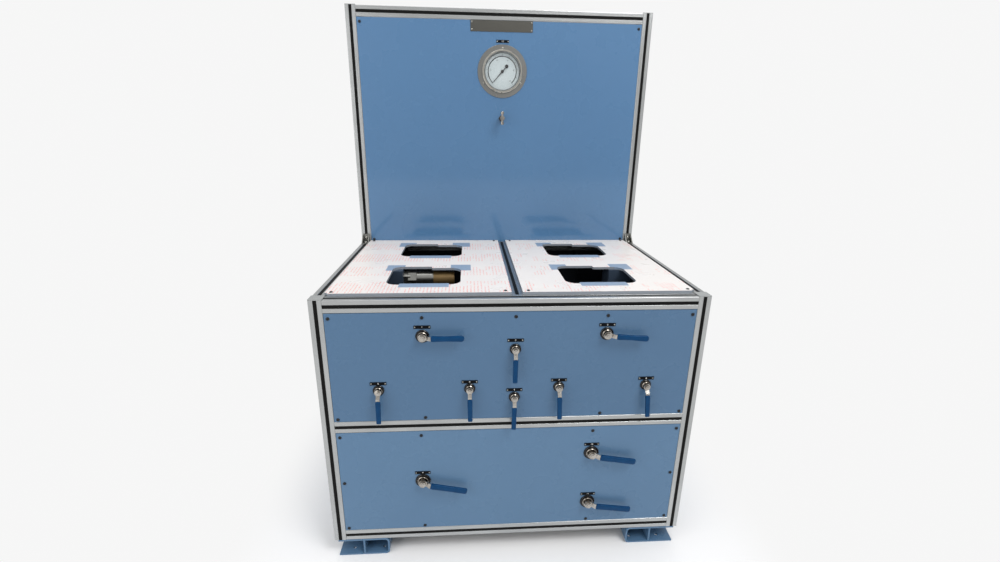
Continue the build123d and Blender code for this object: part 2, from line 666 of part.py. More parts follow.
with BuildPart() as gauge_bezel:
    with Locations(gauge_front.offset(flange_thickness)):
        Cylinder(bezel_diameter / 2, bezel_front - flange_thickness,
                 align=(Align.CENTER, Align.CENTER, Align.MIN))
    chamfer(gauge_bezel.faces().sort_by(Axis.Y)[0].edges(), bezel_chamfer)
    with Locations(gauge_front.offset(flange_thickness)):
        Cylinder(case_radius + gauge_fit, bezel_front - bezel_lip - flange_thickness,
                 align=(Align.CENTER, Align.CENTER, Align.MIN), mode=Mode.SUBTRACT)
        Cylinder(bezel_opening / 2, bezel_front, align=(Align.CENTER, Align.CENTER, Align.MIN),
                 mode=Mode.SUBTRACT)
finish(gauge_bezel, "gauge_bezel")

with BuildPart() as gauge_dial:
    with BuildSketch(gauge_front.offset(dial_back)):
        Circle(dial_radius)
        Circle(spindle_radius + running_clearance, mode=Mode.SUBTRACT)
    extrude(amount=dial_thickness)
finish(gauge_dial, "gauge_dial")

with BuildPart() as gauge_glass:
    with Locations(gauge_front.offset(glass_back)):
        Cylinder(case_radius, glass_thickness, align=(Align.CENTER, Align.CENTER, Align.MIN))
finish(gauge_glass, "gauge_glass")

pointer_y = backboard_panel_y - dial_front - pointer_lift
pointer_plane = facing_front(instrument_x, pointer_y, gauge_z, pointer_start)
with BuildPart() as gauge_pointer:
    with BuildSketch(pointer_plane):
        Polygon(
            (-pointer_tail, -pointer_tail_width / 2),
            (0, -pointer_root_width / 2),
            (pointer_length - pointer_point, -pointer_neck_width / 2),
            (pointer_length, 0),
            (pointer_length - pointer_point, pointer_neck_width / 2),
            (0, pointer_root_width / 2),
            (-pointer_tail, pointer_tail_width / 2),
            align=None,
        )
        with Locations((-pointer_tail, 0)):
            Circle(pointer_tail_radius)
    extrude(amount=pointer_thickness)
    with Locations(pointer_plane):
        Cylinder(pointer_hub_radius, pointer_thickness + pointer_hub_height,
                 align=(Align.CENTER, Align.CENTER, Align.MIN))
        Cylinder(spindle_radius, pointer_lift + dial_thickness + (dial_back - case_floor) / 2,
                 align=(Align.CENTER, Align.CENTER, Align.MAX))
finish(gauge_pointer, "gauge_pointer")

# Small-bore line behind the backboard, from the gauge past the bleed valve to the middle header.
elbow_y = backboard_panel_y + case_back + socket_length
line_y = elbow_y + elbow_length / 2
socket_z = gauge_z - socket_drop
line_fittings = (socket_z, bleed_z, middle_header_z)
with BuildPart() as gauge_line:
    with Locations(*[(instrument_x, line_y, z) for z in line_fittings]):
        Box(elbow_length, elbow_length, elbow_length)
    for high, low in pairwise(line_fittings):
        tube_length = high - low - elbow_length - 2 * pipe_gap
        with Locations((instrument_x, line_y, (high + low) / 2)):
            Cylinder(line_radius, tube_length)
    with Locations(facing_front(instrument_x, line_y - elbow_length / 2 - pipe_gap, middle_header_z)):
        Cylinder(line_radius, line_y - elbow_length / 2 - flow_y - header_side / 2 - 2 * pipe_gap,
                 align=(Align.CENTER, Align.CENTER, Align.MIN))
finish(gauge_line, "gauge_line")

bleed_front = facing_front(instrument_x, backboard_panel_y, bleed_z)
bleed_body_back = elbow_y - backboard_panel_y
bleed_spindle_length = bleed_bar_standoff - bleed_neck_length + bleed_stem_depth - stem_end_gap
with BuildPart() as bleed_valve_body:
    with BuildSketch(bleed_front.offset(-panel_thickness)):
        RegularPolygon(bleed_nut_across / 2 + bleed_neck_radius / 2, 6, major_radius=False)
    extrude(amount=-(bleed_body_back - panel_thickness))
    with Locations(bleed_front.offset(-panel_thickness)):
        Cylinder(bleed_neck_radius, panel_thickness + bleed_neck_length,
                 align=(Align.CENTER, Align.CENTER, Align.MIN))
    with BuildSketch(bleed_front):
        RegularPolygon(bleed_nut_across / 2, 6, major_radius=False)
    extrude(amount=bleed_nut_height)
    with Locations(bleed_front.offset(bleed_neck_length)):
        Cylinder(bleed_spindle_radius + running_clearance, bleed_stem_depth,
                 align=(Align.CENTER, Align.CENTER, Align.MAX), mode=Mode.SUBTRACT)
finish(bleed_valve_body, "bleed_valve_body")

with BuildPart() as bleed_valve_handle:
    bar_plane = bleed_front.offset(bleed_bar_standoff)
    with Locations(bar_plane):
        Cylinder(bleed_spindle_radius, bleed_spindle_length, align=(Align.CENTER, Align.CENTER, Align.MAX))
        Cylinder(bleed_hub_radius, 2 * bleed_knob_radius)
        Cylinder(bleed_bar_radius, bleed_bar_length - bleed_knob_length, rotation=(90, 0, 0))
    knob_middle = (bleed_bar_length - bleed_knob_length) / 2
    with Locations(bar_plane * Pos(0, knob_middle, 0), bar_plane * Pos(0, -knob_middle, 0)):
        Cylinder(bleed_knob_radius, bleed_knob_length, rotation=(90, 0, 0))
    chamfer(bleed_valve_handle.faces().sort_by(Axis.Z)[-1].edges(), bleed_knob_chamfer)
    chamfer(bleed_valve_handle.faces().sort_by(Axis.Z)[0].edges(), bleed_knob_chamfer)
finish(bleed_valve_handle, "bleed_valve_handle")

# ---------------------------------------------------------------- plates on the panels
with BuildPart() as nameplate:
    nameplate_z = top_z - profile - nameplate_gap - nameplate_height / 2
    with BuildSketch(facing_front(0, backboard_panel_y, nameplate_z)):
        Rectangle(nameplate_width, nameplate_height)
    extrude(amount=nameplate_thickness)
finish(nameplate, "nameplate")

tag_planes = [facing_front(valve.x, front_panel_y, row_height(valve.panel, valve.row) + valve.tag_lift)
              for valve in valves]
tag_planes.append(facing_front(instrument_x, backboard_panel_y, gauge_z + gauge_tag_lift))
with BuildPart() as engraved_tags:
    with Locations(*tag_planes):
        Box(tag_width, tag_height, tag_thickness, align=(Align.CENTER, Align.CENTER, Align.MIN))
finish(engraved_tags, "engraved_tags")

# ---------------------------------------------------------------- ball valves

def valve_ring(size):
    """Plain ring around a bonnet, standing on the plane z = 0."""
    with BuildPart() as piece:
        Cylinder(size.ring / 2, ring_height, align=(Align.CENTER, Align.CENTER, Align.MIN))
        chamfer(piece.edges().group_by(Axis.Z)[-1], ring_chamfer)
        Hole(size.bonnet / 2 + ring_fit, ring_height)
    return piece.part


def lever_arm(size):
    """Stem, flat joggled lever along +X and its nut; the panel face is the plane z = 0."""
    hub = size.nut / 2 + lever_hub_margin
    rise_start = hub + lever_rise_start
    slope_shift = lever_plate * tan(atan2(lever_rise, lever_rise_run) / 2)
    with BuildPart() as piece:
        with BuildSketch(Plane.XZ):
            Polygon(
                (-hub, lever_front),
                (rise_start, lever_front),
                (rise_start + lever_rise_run, lever_front + lever_rise),
                (size.length, lever_front + lever_rise),
                (size.length, lever_front + lever_rise + lever_plate),
                (rise_start + lever_rise_run - slope_shift, lever_front + lever_rise + lever_plate),
                (rise_start - slope_shift, lever_front + lever_plate),
                (-hub, lever_front + lever_plate),
                align=None,
            )
        extrude(amount=hub, both=True)
        with BuildSketch():
            Circle(hub)
            with Locations((size.length / 2, 0)):
                Rectangle(size.length, size.lever)
        extrude(amount=lever_front + lever_rise + lever_plate, mode=Mode.INTERSECT)
        with BuildSketch(Plane.XY.offset(lever_front + lever_plate)):
            RegularPolygon(size.nut / 2, 6, major_radius=False)
        extrude(amount=nut_height)
        with Locations((0, 0, lever_front + lever_plate + nut_height + stem_tip)):
            Cylinder(size.stem / 2, lever_plate + nut_height + stem_tip + stem_length,
                     align=(Align.CENTER, Align.CENTER, Align.MAX))
    return piece.part


def lever_grip(size):
    """Moulded sleeve over the outer end of a lever, drawn in to a waist."""
    grip_end = size.length + grip_cover
    waist_x = grip_start + grip_waist_share * (grip_end - grip_start)
    lever_middle = lever_front + lever_rise + lever_plate / 2
    with BuildPart() as piece:
        with BuildSketch(Plane.XY.offset(lever_middle - grip_thickness / 2)) as outline:
            Polygon(
                (grip_start, -size.grip / 2),
                (waist_x, -size.waist / 2),
                (grip_end, -size.tip / 2),
                (grip_end, size.tip / 2),
                (waist_x, size.waist / 2),
                (grip_start, size.grip / 2),
                align=None,
            )
            fillet(outline.vertices().sort_by(Axis.X)[:2], grip_corner)
            fillet(outline.vertices().sort_by(Axis.X)[-2:], size.tip_corner)
        extrude(amount=grip_thickness)
        chamfer(piece.faces().filter_by(Axis.Z).edges(), grip_edge)
        with Locations((grip_start, 0, lever_middle)):
            Box(size.length - grip_start + grip_fit, size.lever + 2 * grip_fit, lever_plate + 2 * grip_fit,
                align=(Align.MIN, Align.CENTER, Align.CENTER), mode=Mode.SUBTRACT)
    return piece.part


def valve_body(size):
    """Hexagonal body, bonnet and packing nut, bored for the stem; the panel face is the plane z = 0."""
    half_length = body_half * size.body
    with BuildPart() as piece:
        with BuildSketch(Plane(origin=(0, -half_length, -flow_depth), x_dir=(1, 0, 0), z_dir=(0, 1, 0))):
            RegularPolygon(size.body / 2, 6, major_radius=False)
        extrude(amount=2 * half_length)
        with Locations((0, 0, bonnet_height)):
            Cylinder(size.bonnet / 2, bonnet_height + flow_depth,
                     align=(Align.CENTER, Align.CENTER, Align.MAX))
        chamfer(piece.edges().group_by(Axis.Z)[-1], bonnet_chamfer)
        with Locations((0, 0, bonnet_height)):
            Cylinder(size.nut / 2 + packing_margin, packing_height,
                     align=(Align.CENTER, Align.CENTER, Align.MIN))
        with Locations((0, 0, bonnet_height + packing_height)):
            Cylinder(size.stem / 2 + running_clearance, packing_height + stem_socket_depth,
                     align=(Align.CENTER, Align.CENTER, Align.MAX), mode=Mode.SUBTRACT)
    return piece.part


with BuildPart() as valve_bodies:
    for valve in valves:
        with Locations(facing_front(valve.x, front_panel_y, row_height(valve.panel, valve.row))):
            add(valve_body(valve.size))
finish(valve_bodies, "valve_bodies")

with BuildPart() as valve_rings:
    for valve in valves:
        with Locations(facing_front(valve.x, front_panel_y, row_height(valve.panel, valve.row))):
            add(valve_ring(valve.size))
finish(valve_rings, "valve_rings")

for number, valve in enumerate(valves, start=1):
    front = facing_front(valve.x, front_panel_y, row_height(valve.panel, valve.row), valve.angle)
    with BuildPart() as lever:
        with Locations(front):
            add(lever_arm(valve.size))
    finish(lever, f"lever_{number}")
    with BuildPart() as grip:
        with Locations(front):
            add(lever_grip(valve.size))
    finish(grip, f"grip_{number}")

# ---------------------------------------------------------------- pipework
def port_height(valve, side):
    """Height of the upper (side 1) or lower (side -1) port of a valve."""
    return row_height(valve.panel, valve.row) + side * body_half * valve.size.body


def upright_pipe(x, y, low, high):
    """Vertical pipe seated between two fittings."""
    with Locations((x, y, low + pipe_gap)):
        Cylinder(pipe_radius, high - low - 2 * pipe_gap, align=(Align.CENTER, Align.CENTER, Align.MIN))


def rearward_pipe(x, z, start, end):
    """Pipe that runs away from the operator, seated between two fittings."""
    with Locations(Plane(origin=(x, start + pipe_gap, z), z_dir=out_back)):
        Cylinder(pipe_radius, end - start - 2 * pipe_gap, align=(Align.CENTER, Align.CENTER, Align.MIN))


column_x = [valve.x for valve in valves]
top_header_z = (port_height(valves[0], 1) + deck_z - profile) / 2
station_centre_y = front_y + station_setback + station_depth / 2
station_low_z = deck_z - station_height
half_header = header_side / 2
half_elbow = elbow_side / 2
port_y = back_y - panel_recess
headers = (
    (column_x[0], column_x[1], top_header_z),
    (column_x[4], column_x[7], middle_header_z),
    (column_x[4], column_x[7], bottom_header_z),
)
with BuildPart() as pipework:
    for low_x, high_x, z in headers:
        with Locations(((low_x + high_x) / 2, flow_y, z)):
            Box(high_x - low_x + 2 * header_overhang, header_side, header_side)
    for valve in valves:
        up, down = port_height(valve, 1), port_height(valve, -1)
        if down > middle_header_z:
            upright_pipe(valve.x, flow_y, up, top_header_z - half_header)
            upright_pipe(valve.x, flow_y, middle_header_z + half_header, down)
        else:
            above = port_height(valves[9], -1) if valve is valves[10] else middle_header_z - half_header
            upright_pipe(valve.x, flow_y, up, above)
            if valve is not valves[9]:
                upright_pipe(valve.x, flow_y, bottom_header_z + half_header, down)
    for x in (-station_x, station_x):
        rearward_pipe(x, middle_header_z, flow_y + half_header, station_centre_y - half_elbow)
        with Locations((x, station_centre_y, middle_header_z)):
            Box(elbow_side, elbow_side, elbow_side)
        upright_pipe(x, station_centre_y, middle_header_z + half_elbow, station_low_z)
    for x, z in rear_ports:
        rearward_pipe(x, z, flow_y + half_header, port_y)
        with BuildSketch(Plane(origin=(x, port_y, z), z_dir=out_back)):
            RegularPolygon(port_across / 2, 6, major_radius=False)
        extrude(amount=port_length)
        with Locations(Plane(origin=(x, port_y + port_length, z), z_dir=out_back)):
            Hole(port_bore, port_bore_depth)
finish(pipework, "pipework")

# ---------------------------------------------------------------- test stations under the deck
with BuildPart() as station_blocks:
    with Locations(*[(side * station_x, station_centre_y, deck_z) for side in (-1, 1)]):
        Box(station_width, station_depth, station_height, align=(Align.CENTER, Align.CENTER, Align.MAX))
finish(station_blocks, "station_blocks")

fitting_plane = Plane(origin=(-station_x + station_width / 2, station_centre_y, deck_z - fitting_drop),
                      z_dir=(1, 0, 0))
with BuildPart() as station_coupling:
    with BuildSketch(fitting_plane):
        RegularPolygon(coupling_hex_across / 2, 6, major_radius=False)
    extrude(amount=coupling_hex_length)
    with Locations(fitting_plane.offset(coupling_hex_length)):
        Cylinder(sleeve_radius, sleeve_length, align=(Align.CENTER, Align.CENTER, Align.MIN))
finish(station_coupling, "station_coupling")

with BuildPart() as station_pipe:
    with BuildSketch(fitting_plane.offset(coupling_hex_length + sleeve_length)):
        Circle(brass_radius)
        Circle(brass_bore, mode=Mode.SUBTRACT)
    extrude(amount=brass_length)
finish(station_pipe, "station_pipe")
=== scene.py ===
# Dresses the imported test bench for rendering: materials on every CAD piece, and the small parts that the CAD
# model leaves to this script. Everything is in metres, in the frame of the CAD model.
import json
import math
import random
from collections import namedtuple

import bmesh
import bpy
from mathutils import Matrix, Vector


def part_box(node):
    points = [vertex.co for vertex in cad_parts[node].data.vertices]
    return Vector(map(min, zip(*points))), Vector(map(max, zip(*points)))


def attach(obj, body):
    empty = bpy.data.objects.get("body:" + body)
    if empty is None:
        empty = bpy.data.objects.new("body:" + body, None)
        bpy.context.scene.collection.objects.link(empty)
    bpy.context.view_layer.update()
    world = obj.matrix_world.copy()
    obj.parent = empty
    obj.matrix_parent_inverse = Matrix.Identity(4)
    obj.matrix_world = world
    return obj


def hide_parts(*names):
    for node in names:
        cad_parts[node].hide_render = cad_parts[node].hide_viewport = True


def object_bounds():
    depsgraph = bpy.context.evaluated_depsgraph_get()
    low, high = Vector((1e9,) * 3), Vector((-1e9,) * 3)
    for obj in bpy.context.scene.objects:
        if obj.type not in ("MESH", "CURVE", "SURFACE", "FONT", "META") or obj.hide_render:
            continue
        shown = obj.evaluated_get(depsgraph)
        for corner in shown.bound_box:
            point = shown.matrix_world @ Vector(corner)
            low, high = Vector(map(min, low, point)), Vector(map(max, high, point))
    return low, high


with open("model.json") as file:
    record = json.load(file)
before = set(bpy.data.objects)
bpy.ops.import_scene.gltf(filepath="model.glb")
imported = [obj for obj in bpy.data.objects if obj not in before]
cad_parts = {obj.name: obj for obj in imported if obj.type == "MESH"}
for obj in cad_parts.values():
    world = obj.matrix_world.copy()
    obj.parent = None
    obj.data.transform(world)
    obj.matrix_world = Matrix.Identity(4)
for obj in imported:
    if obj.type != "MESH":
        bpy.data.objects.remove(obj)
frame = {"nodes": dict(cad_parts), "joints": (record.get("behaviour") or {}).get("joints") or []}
cad_box = [list(corner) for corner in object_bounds()]
nodes = frame["nodes"]
MM = 0.001
BENCH = "bench"
random.seed(7)

# ---------------------------------------------------------------- sizes and places of the screws
ScrewSize = namedtuple("ScrewSize", "radius height socket")
PANEL_SCREW = ScrewSize(5.4 * MM, 2.6 * MM, 2.0 * MM)
SIDE_SCREW = ScrewSize(5.4 * MM, 0.9 * MM, 2.0 * MM)    # low head, inside the outer faces of the posts
FRAME_BOLT = ScrewSize(6.5 * MM, 4.0 * MM, 3.0 * MM)
FLANGE_SCREW = ScrewSize(4.0 * MM, 2.2 * MM, 1.6 * MM)
TAG_SCREW = ScrewSize(2.2 * MM, 1.2 * MM, 0.9 * MM)
PLATE_RIVET = ScrewSize(3.0 * MM, 1.8 * MM, 1.0 * MM)
# Outline of a screw's head, in shares of its radius and height.
HEAD_PROFILE = ((1.0, 0.0), (1.0, 0.3), (0.94, 0.62), (0.78, 0.88), (0.58, 1.0))
SOCKET_SIDES = 6
SOCKET_TAPER = 0.96             # width of the bottom of a socket as a share of its mouth
SOCKET_FLOOR = 0.35             # height of that bottom as a share of the head

SCREW_SIDE = 12.5 * MM          # post to the side screws of a panel
SCREW_DROP = 17.0 * MM          # rail above a panel to its top screws
SCREW_RISE = 9.0 * MM           # rail below a panel to its bottom screws
BOARD_SCREW_RISE = 6.0 * MM     # top of the deck to the bottom screws of the backboard
DECK_SCREW_INSET = 18.0 * MM    # side edge of a deck plate to its screws
DECK_SCREW_SETBACK = 14.0 * MM  # front or back edge of a deck plate to its screws
SIDE_SCREW_SHARES = (0.25, 0.75)        # shares of the depth of the frame
SKID_BOLT_SHARES = (0.15, 0.5, 0.85)
PANEL_SHEET = 3.0 * MM
BRACKET_WALL = 5.0 * MM
SKID_PLATE = 6.0 * MM


# ---------------------------------------------------------------- node materials
COLOR_A, COLOR_B, COLOR_RESULT = 6, 7, 2    # sockets of a Mix node that mixes colours
FLOAT_A, FLOAT_B, FLOAT_RESULT = 2, 3, 0    # sockets of a Mix node that mixes numbers
NOISE_LOW, NOISE_HIGH = 0.3, 0.7            # middle of the range of a noise texture


def srgb(red, green, blue):
    """Linear colour from 8-bit display values."""
    def linear(value):
        value /= 255
        return value / 12.92 if value <= 0.04045 else ((value + 0.055) / 1.055) ** 2.4
    return (linear(red), linear(green), linear(blue), 1.0)


class Shader:
    """A Principled material with helpers for procedural colour, roughness and bump."""

    def __init__(self, name, color, roughness, metallic=0.0, **inputs):
        self.material = bpy.data.materials.new(name)
        self.material.use_nodes = True
        self.tree = self.material.node_tree
        self.surface = self.tree.nodes["Principled BSDF"]
        self.base = color
        self.set("Base Color", color)
        self.set("Metallic", metallic)
        self.set("Roughness", roughness)
        for key, value in inputs.items():
            self.set(key.replace("_", " "), value)

    def set(self, socket, value):
        self.surface.inputs[socket].default_value = value

    def node(self, kind, **settings):
        made = self.tree.nodes.new(kind)
        for key, value in settings.items():
            setattr(made, key, value)
        return made

    def link(self, source, target):
        self.tree.links.new(source, target)

    def coordinates(self, stretch=(1, 1, 1)):
        """Object coordinates, scaled by stretch."""
        source = self.node("ShaderNodeTexCoord")
        mapping = self.node("ShaderNodeMapping")
        mapping.inputs["Scale"].default_value = stretch
        self.link(source.outputs["Object"], mapping.inputs["Vector"])
        return mapping.outputs["Vector"]

    def split(self):
        """Outputs X, Y and Z of the object coordinates."""
        made = self.node("ShaderNodeSeparateXYZ")
        self.link(self.coordinates(), made.inputs["Vector"])
        return made.outputs

    def noise(self, scale, detail, stretch=(1, 1, 1)):
        texture = self.node("ShaderNodeTexNoise")
        texture.inputs["Scale"].default_value = scale
        texture.inputs["Detail"].default_value = detail
        self.link(self.coordinates(stretch), texture.inputs["Vector"])
        return texture.outputs["Fac"]

    def remap(self, value, low, high):
        """Spreads the middle of a noise value over low to high."""
        ramp = self.node("ShaderNodeMapRange")
        ramp.inputs["From Min"].default_value = NOISE_LOW
        ramp.inputs["From Max"].default_value = NOISE_HIGH
        ramp.inputs["To Min"].default_value = low
        ramp.inputs["To Max"].default_value = high
        self.link(value, ramp.inputs["Value"])
        return ramp.outputs["Result"]

    def fill(self, sockets, values):
        """Sets each socket to its value, or links it where the value is another socket."""
        for socket, value in zip(sockets, values):
            if isinstance(value, (int, float, tuple)):
                socket.default_value = value
            else:
                self.link(value, socket)

    def math(self, operation, *values):
        """Result of a Math node on numbers or sockets."""
        made = self.node("ShaderNodeMath", operation=operation)
        self.fill(made.inputs, values)
        return made.outputs["Value"]

    def mix(self, factor, first, second):
        """Colour mix of two colours or colour sockets."""
        made = self.node("ShaderNodeMix", data_type="RGBA")
        sockets = (made.inputs["Factor"], made.inputs[COLOR_A], made.inputs[COLOR_B])
        self.fill(sockets, (factor, first, second))
        return made.outputs[COLOR_RESULT]

    def within(self, limits):
        """1 inside a box given by its half width, front, back and top, 0 outside."""
        half_width, front, back, top = limits
        axes = self.split()
        narrow = self.math("LESS_THAN", self.math("ABSOLUTE", axes["X"]), half_width)
        low = self.math("LESS_THAN", axes["Z"], top)
        behind_front = self.math("GREATER_THAN", axes["Y"], front)
        between = self.math("MULTIPLY", behind_front, self.math("LESS_THAN", axes["Y"], back))
        return self.math("MULTIPLY", self.math("MULTIPLY", narrow, low), between)

    def vary_color(self, mask, other, amount):
        """Colour drifts from the base towards another by a noise mask."""
        factor = self.remap(mask, 0.0, amount)
        self.link(self.mix(factor, self.base, other), self.surface.inputs["Base Color"])

    def vary_roughness(self, mask, low, high):
        self.link(self.remap(mask, low, high), self.surface.inputs["Roughness"])

    def bump(self, height, distance, strength):
        made = self.node("ShaderNodeBump")
        made.inputs["Distance"].default_value = distance
        made.inputs["Strength"].default_value = strength
        self.link(height, made.inputs["Height"])
        self.link(made.outputs["Normal"], self.surface.inputs["Normal"])


def powder_coat(name, color, darker, roughness=(0.30, 0.42), specular=0.4, inside=None, gloss=0.0):
    """Powder coat with fine orange peel and faint clouds of tone. Faces inside a box get painted shade, a
    near-black colour.
    """
    shader = Shader(name, color, roughness=roughness[0], Specular_IOR_Level=specular, Coat_Weight=gloss,
                    Coat_Roughness=0.08)
    clouds = shader.remap(shader.noise(2.2, 4.0), 0.0, 0.35)
    painted = shader.mix(clouds, color, darker)
    if inside:
        # Painted shade: faces inside the box are turned near black, for the shade inside the cabinet.
        painted = shader.mix(shader.within(inside), painted, srgb(30, 33, 38))
    shader.link(painted, shader.surface.inputs["Base Color"])
    shader.vary_roughness(shader.noise(9.0, 5.0), *roughness)
    orange_peel = shader.noise(900.0, 2.0)
    shader.bump(orange_peel, 0.05 * MM, 0.3)
    return shader.material


def anodised(name, stretch):
    """Anodised extrusion: die lines along the bar and faint handling marks."""
    shader = Shader(name, srgb(188, 190, 190), metallic=0.9, roughness=0.3)
    die_lines = shader.noise(700.0, 2.0, stretch)
    handling = shader.noise(6.0, 5.0)
    shader.vary_color(handling, srgb(158, 160, 160), 0.5)
    shader.vary_roughness(die_lines, 0.24, 0.40)
    shader.bump(die_lines, 0.02 * MM, 0.5)
    return shader.material


def turned_steel(name, color, roughness, darker=srgb(150, 146, 138), amount=0.6, metallic=1.0, smears=60.0,
                 tooling=0.004 * MM):
    """Machined metal. A higher number of smears makes them smaller, and tooling is the depth of its marks."""
    shader = Shader(name, color, metallic=metallic, roughness=roughness[0])
    shader.vary_color(shader.noise(smears, 4.0), darker, amount)
    shader.vary_roughness(shader.noise(smears * 2, 5.0), *roughness)
    shader.bump(shader.noise(1500.0, 1.0, (1, 1, 0.1)), tooling, 0.4)
    return shader.material


def moulded(name, color, lighter, roughness, grain, depth, amount=0.3, specular=0.35):
    """Moulded or dipped plastic, paint or ink. A higher grain is finer, and depth is how deep it goes."""
    shader = Shader(name, color, roughness=roughness[0], Specular_IOR_Level=specular)
    shader.vary_color(shader.noise(45.0, 4.0), lighter, amount)
    shader.vary_roughness(shader.noise(80.0, 4.0), *roughness)
    shader.bump(shader.noise(grain, 2.0), depth, 0.5)
    return shader.material


def slot_strip(name):
    """Black extruded strip with a fine grain. Its colour is darker than real black plastic, partly painted
    shade for the shade in the slot.
    """
    shader = Shader(name, srgb(8, 8, 8), roughness=0.5, Specular_IOR_Level=0.12)
    shader.vary_color(shader.noise(120.0, 3.0), srgb(20, 20, 19), 0.5)
    shader.vary_roughness(shader.noise(300.0, 3.0), 0.45, 0.65)
    shader.bump(shader.noise(800.0, 1.0), 0.05 * MM, 0.4)
    return shader.material


def printed_film(name):
    """White protective film: faint wrinkles, and rows of broken red dashes that stand for its print."""
    shader = Shader(name, srgb(221, 217, 214), roughness=0.32, Specular_IOR_Level=0.3)
    dash_pitch, dash_share = 11.0 * MM, 0.34
    band_pitch, band_share = 178.0 * MM, 0.62
    left_plate_extra, word_limit, letter_limit = 0.09, 0.54, 0.50
    print_strength = 0.66
    axes = shader.split()

    def stripes(axis, pitch, share):
        wave = shader.math("FRACT", shader.math("DIVIDE", axes[axis], pitch))
        return shader.math("LESS_THAN", wave, share)

    dashes, bands = stripes("X", dash_pitch, dash_share), stripes("Y", band_pitch, band_share)
    extra = shader.math("MULTIPLY", shader.math("LESS_THAN", axes["X"], 0.0), left_plate_extra)
    density = shader.math("ADD", shader.noise(6.0, 3.0, (6, 2.4, 1)), extra)
    words = shader.math("GREATER_THAN", density, word_limit)
    letters = shader.math("GREATER_THAN", shader.noise(420.0, 1.0, (0.8, 1, 1)), letter_limit)
    mask = shader.math("MULTIPLY", shader.math("MULTIPLY", dashes, bands),
                       shader.math("MULTIPLY", words, letters))
    printed = shader.mix(shader.math("MULTIPLY", mask, print_strength), shader.base, srgb(228, 112, 100))
    shader.link(printed, shader.surface.inputs["Base Color"])
    shader.vary_roughness(shader.noise(14.0, 4.0), 0.24, 0.42)
    shader.bump(shader.noise(18.0, 5.0), 0.4 * MM, 0.35)
    return shader.material


def clear_glass(name):
    """Pane that hardly hides what is behind it, with faint smears."""
    shader = Shader(name, (0.95, 0.98, 1.0, 1.0), roughness=0.03, Alpha=0.03)
    shader.vary_roughness(shader.noise(30.0, 4.0), 0.02, 0.08)
    return shader.material


front_low, front_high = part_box("front_posts")
rear_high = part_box("rear_posts")[1]
# Box whose faces get the painted shade of the cabinet's inside.
cabinet_inside = (front_high.x - PANEL_SHEET, front_low.y + PANEL_SHEET, rear_high.y - PANEL_SHEET,
                  front_high.z)


def panel_paint(name, color, darker, gloss=0.0):
    """Paint of a blue panel, with painted shade on the side inside the cabinet."""
    return powder_coat(name, color, darker, (0.22, 0.34), 0.3, cabinet_inside, gloss)


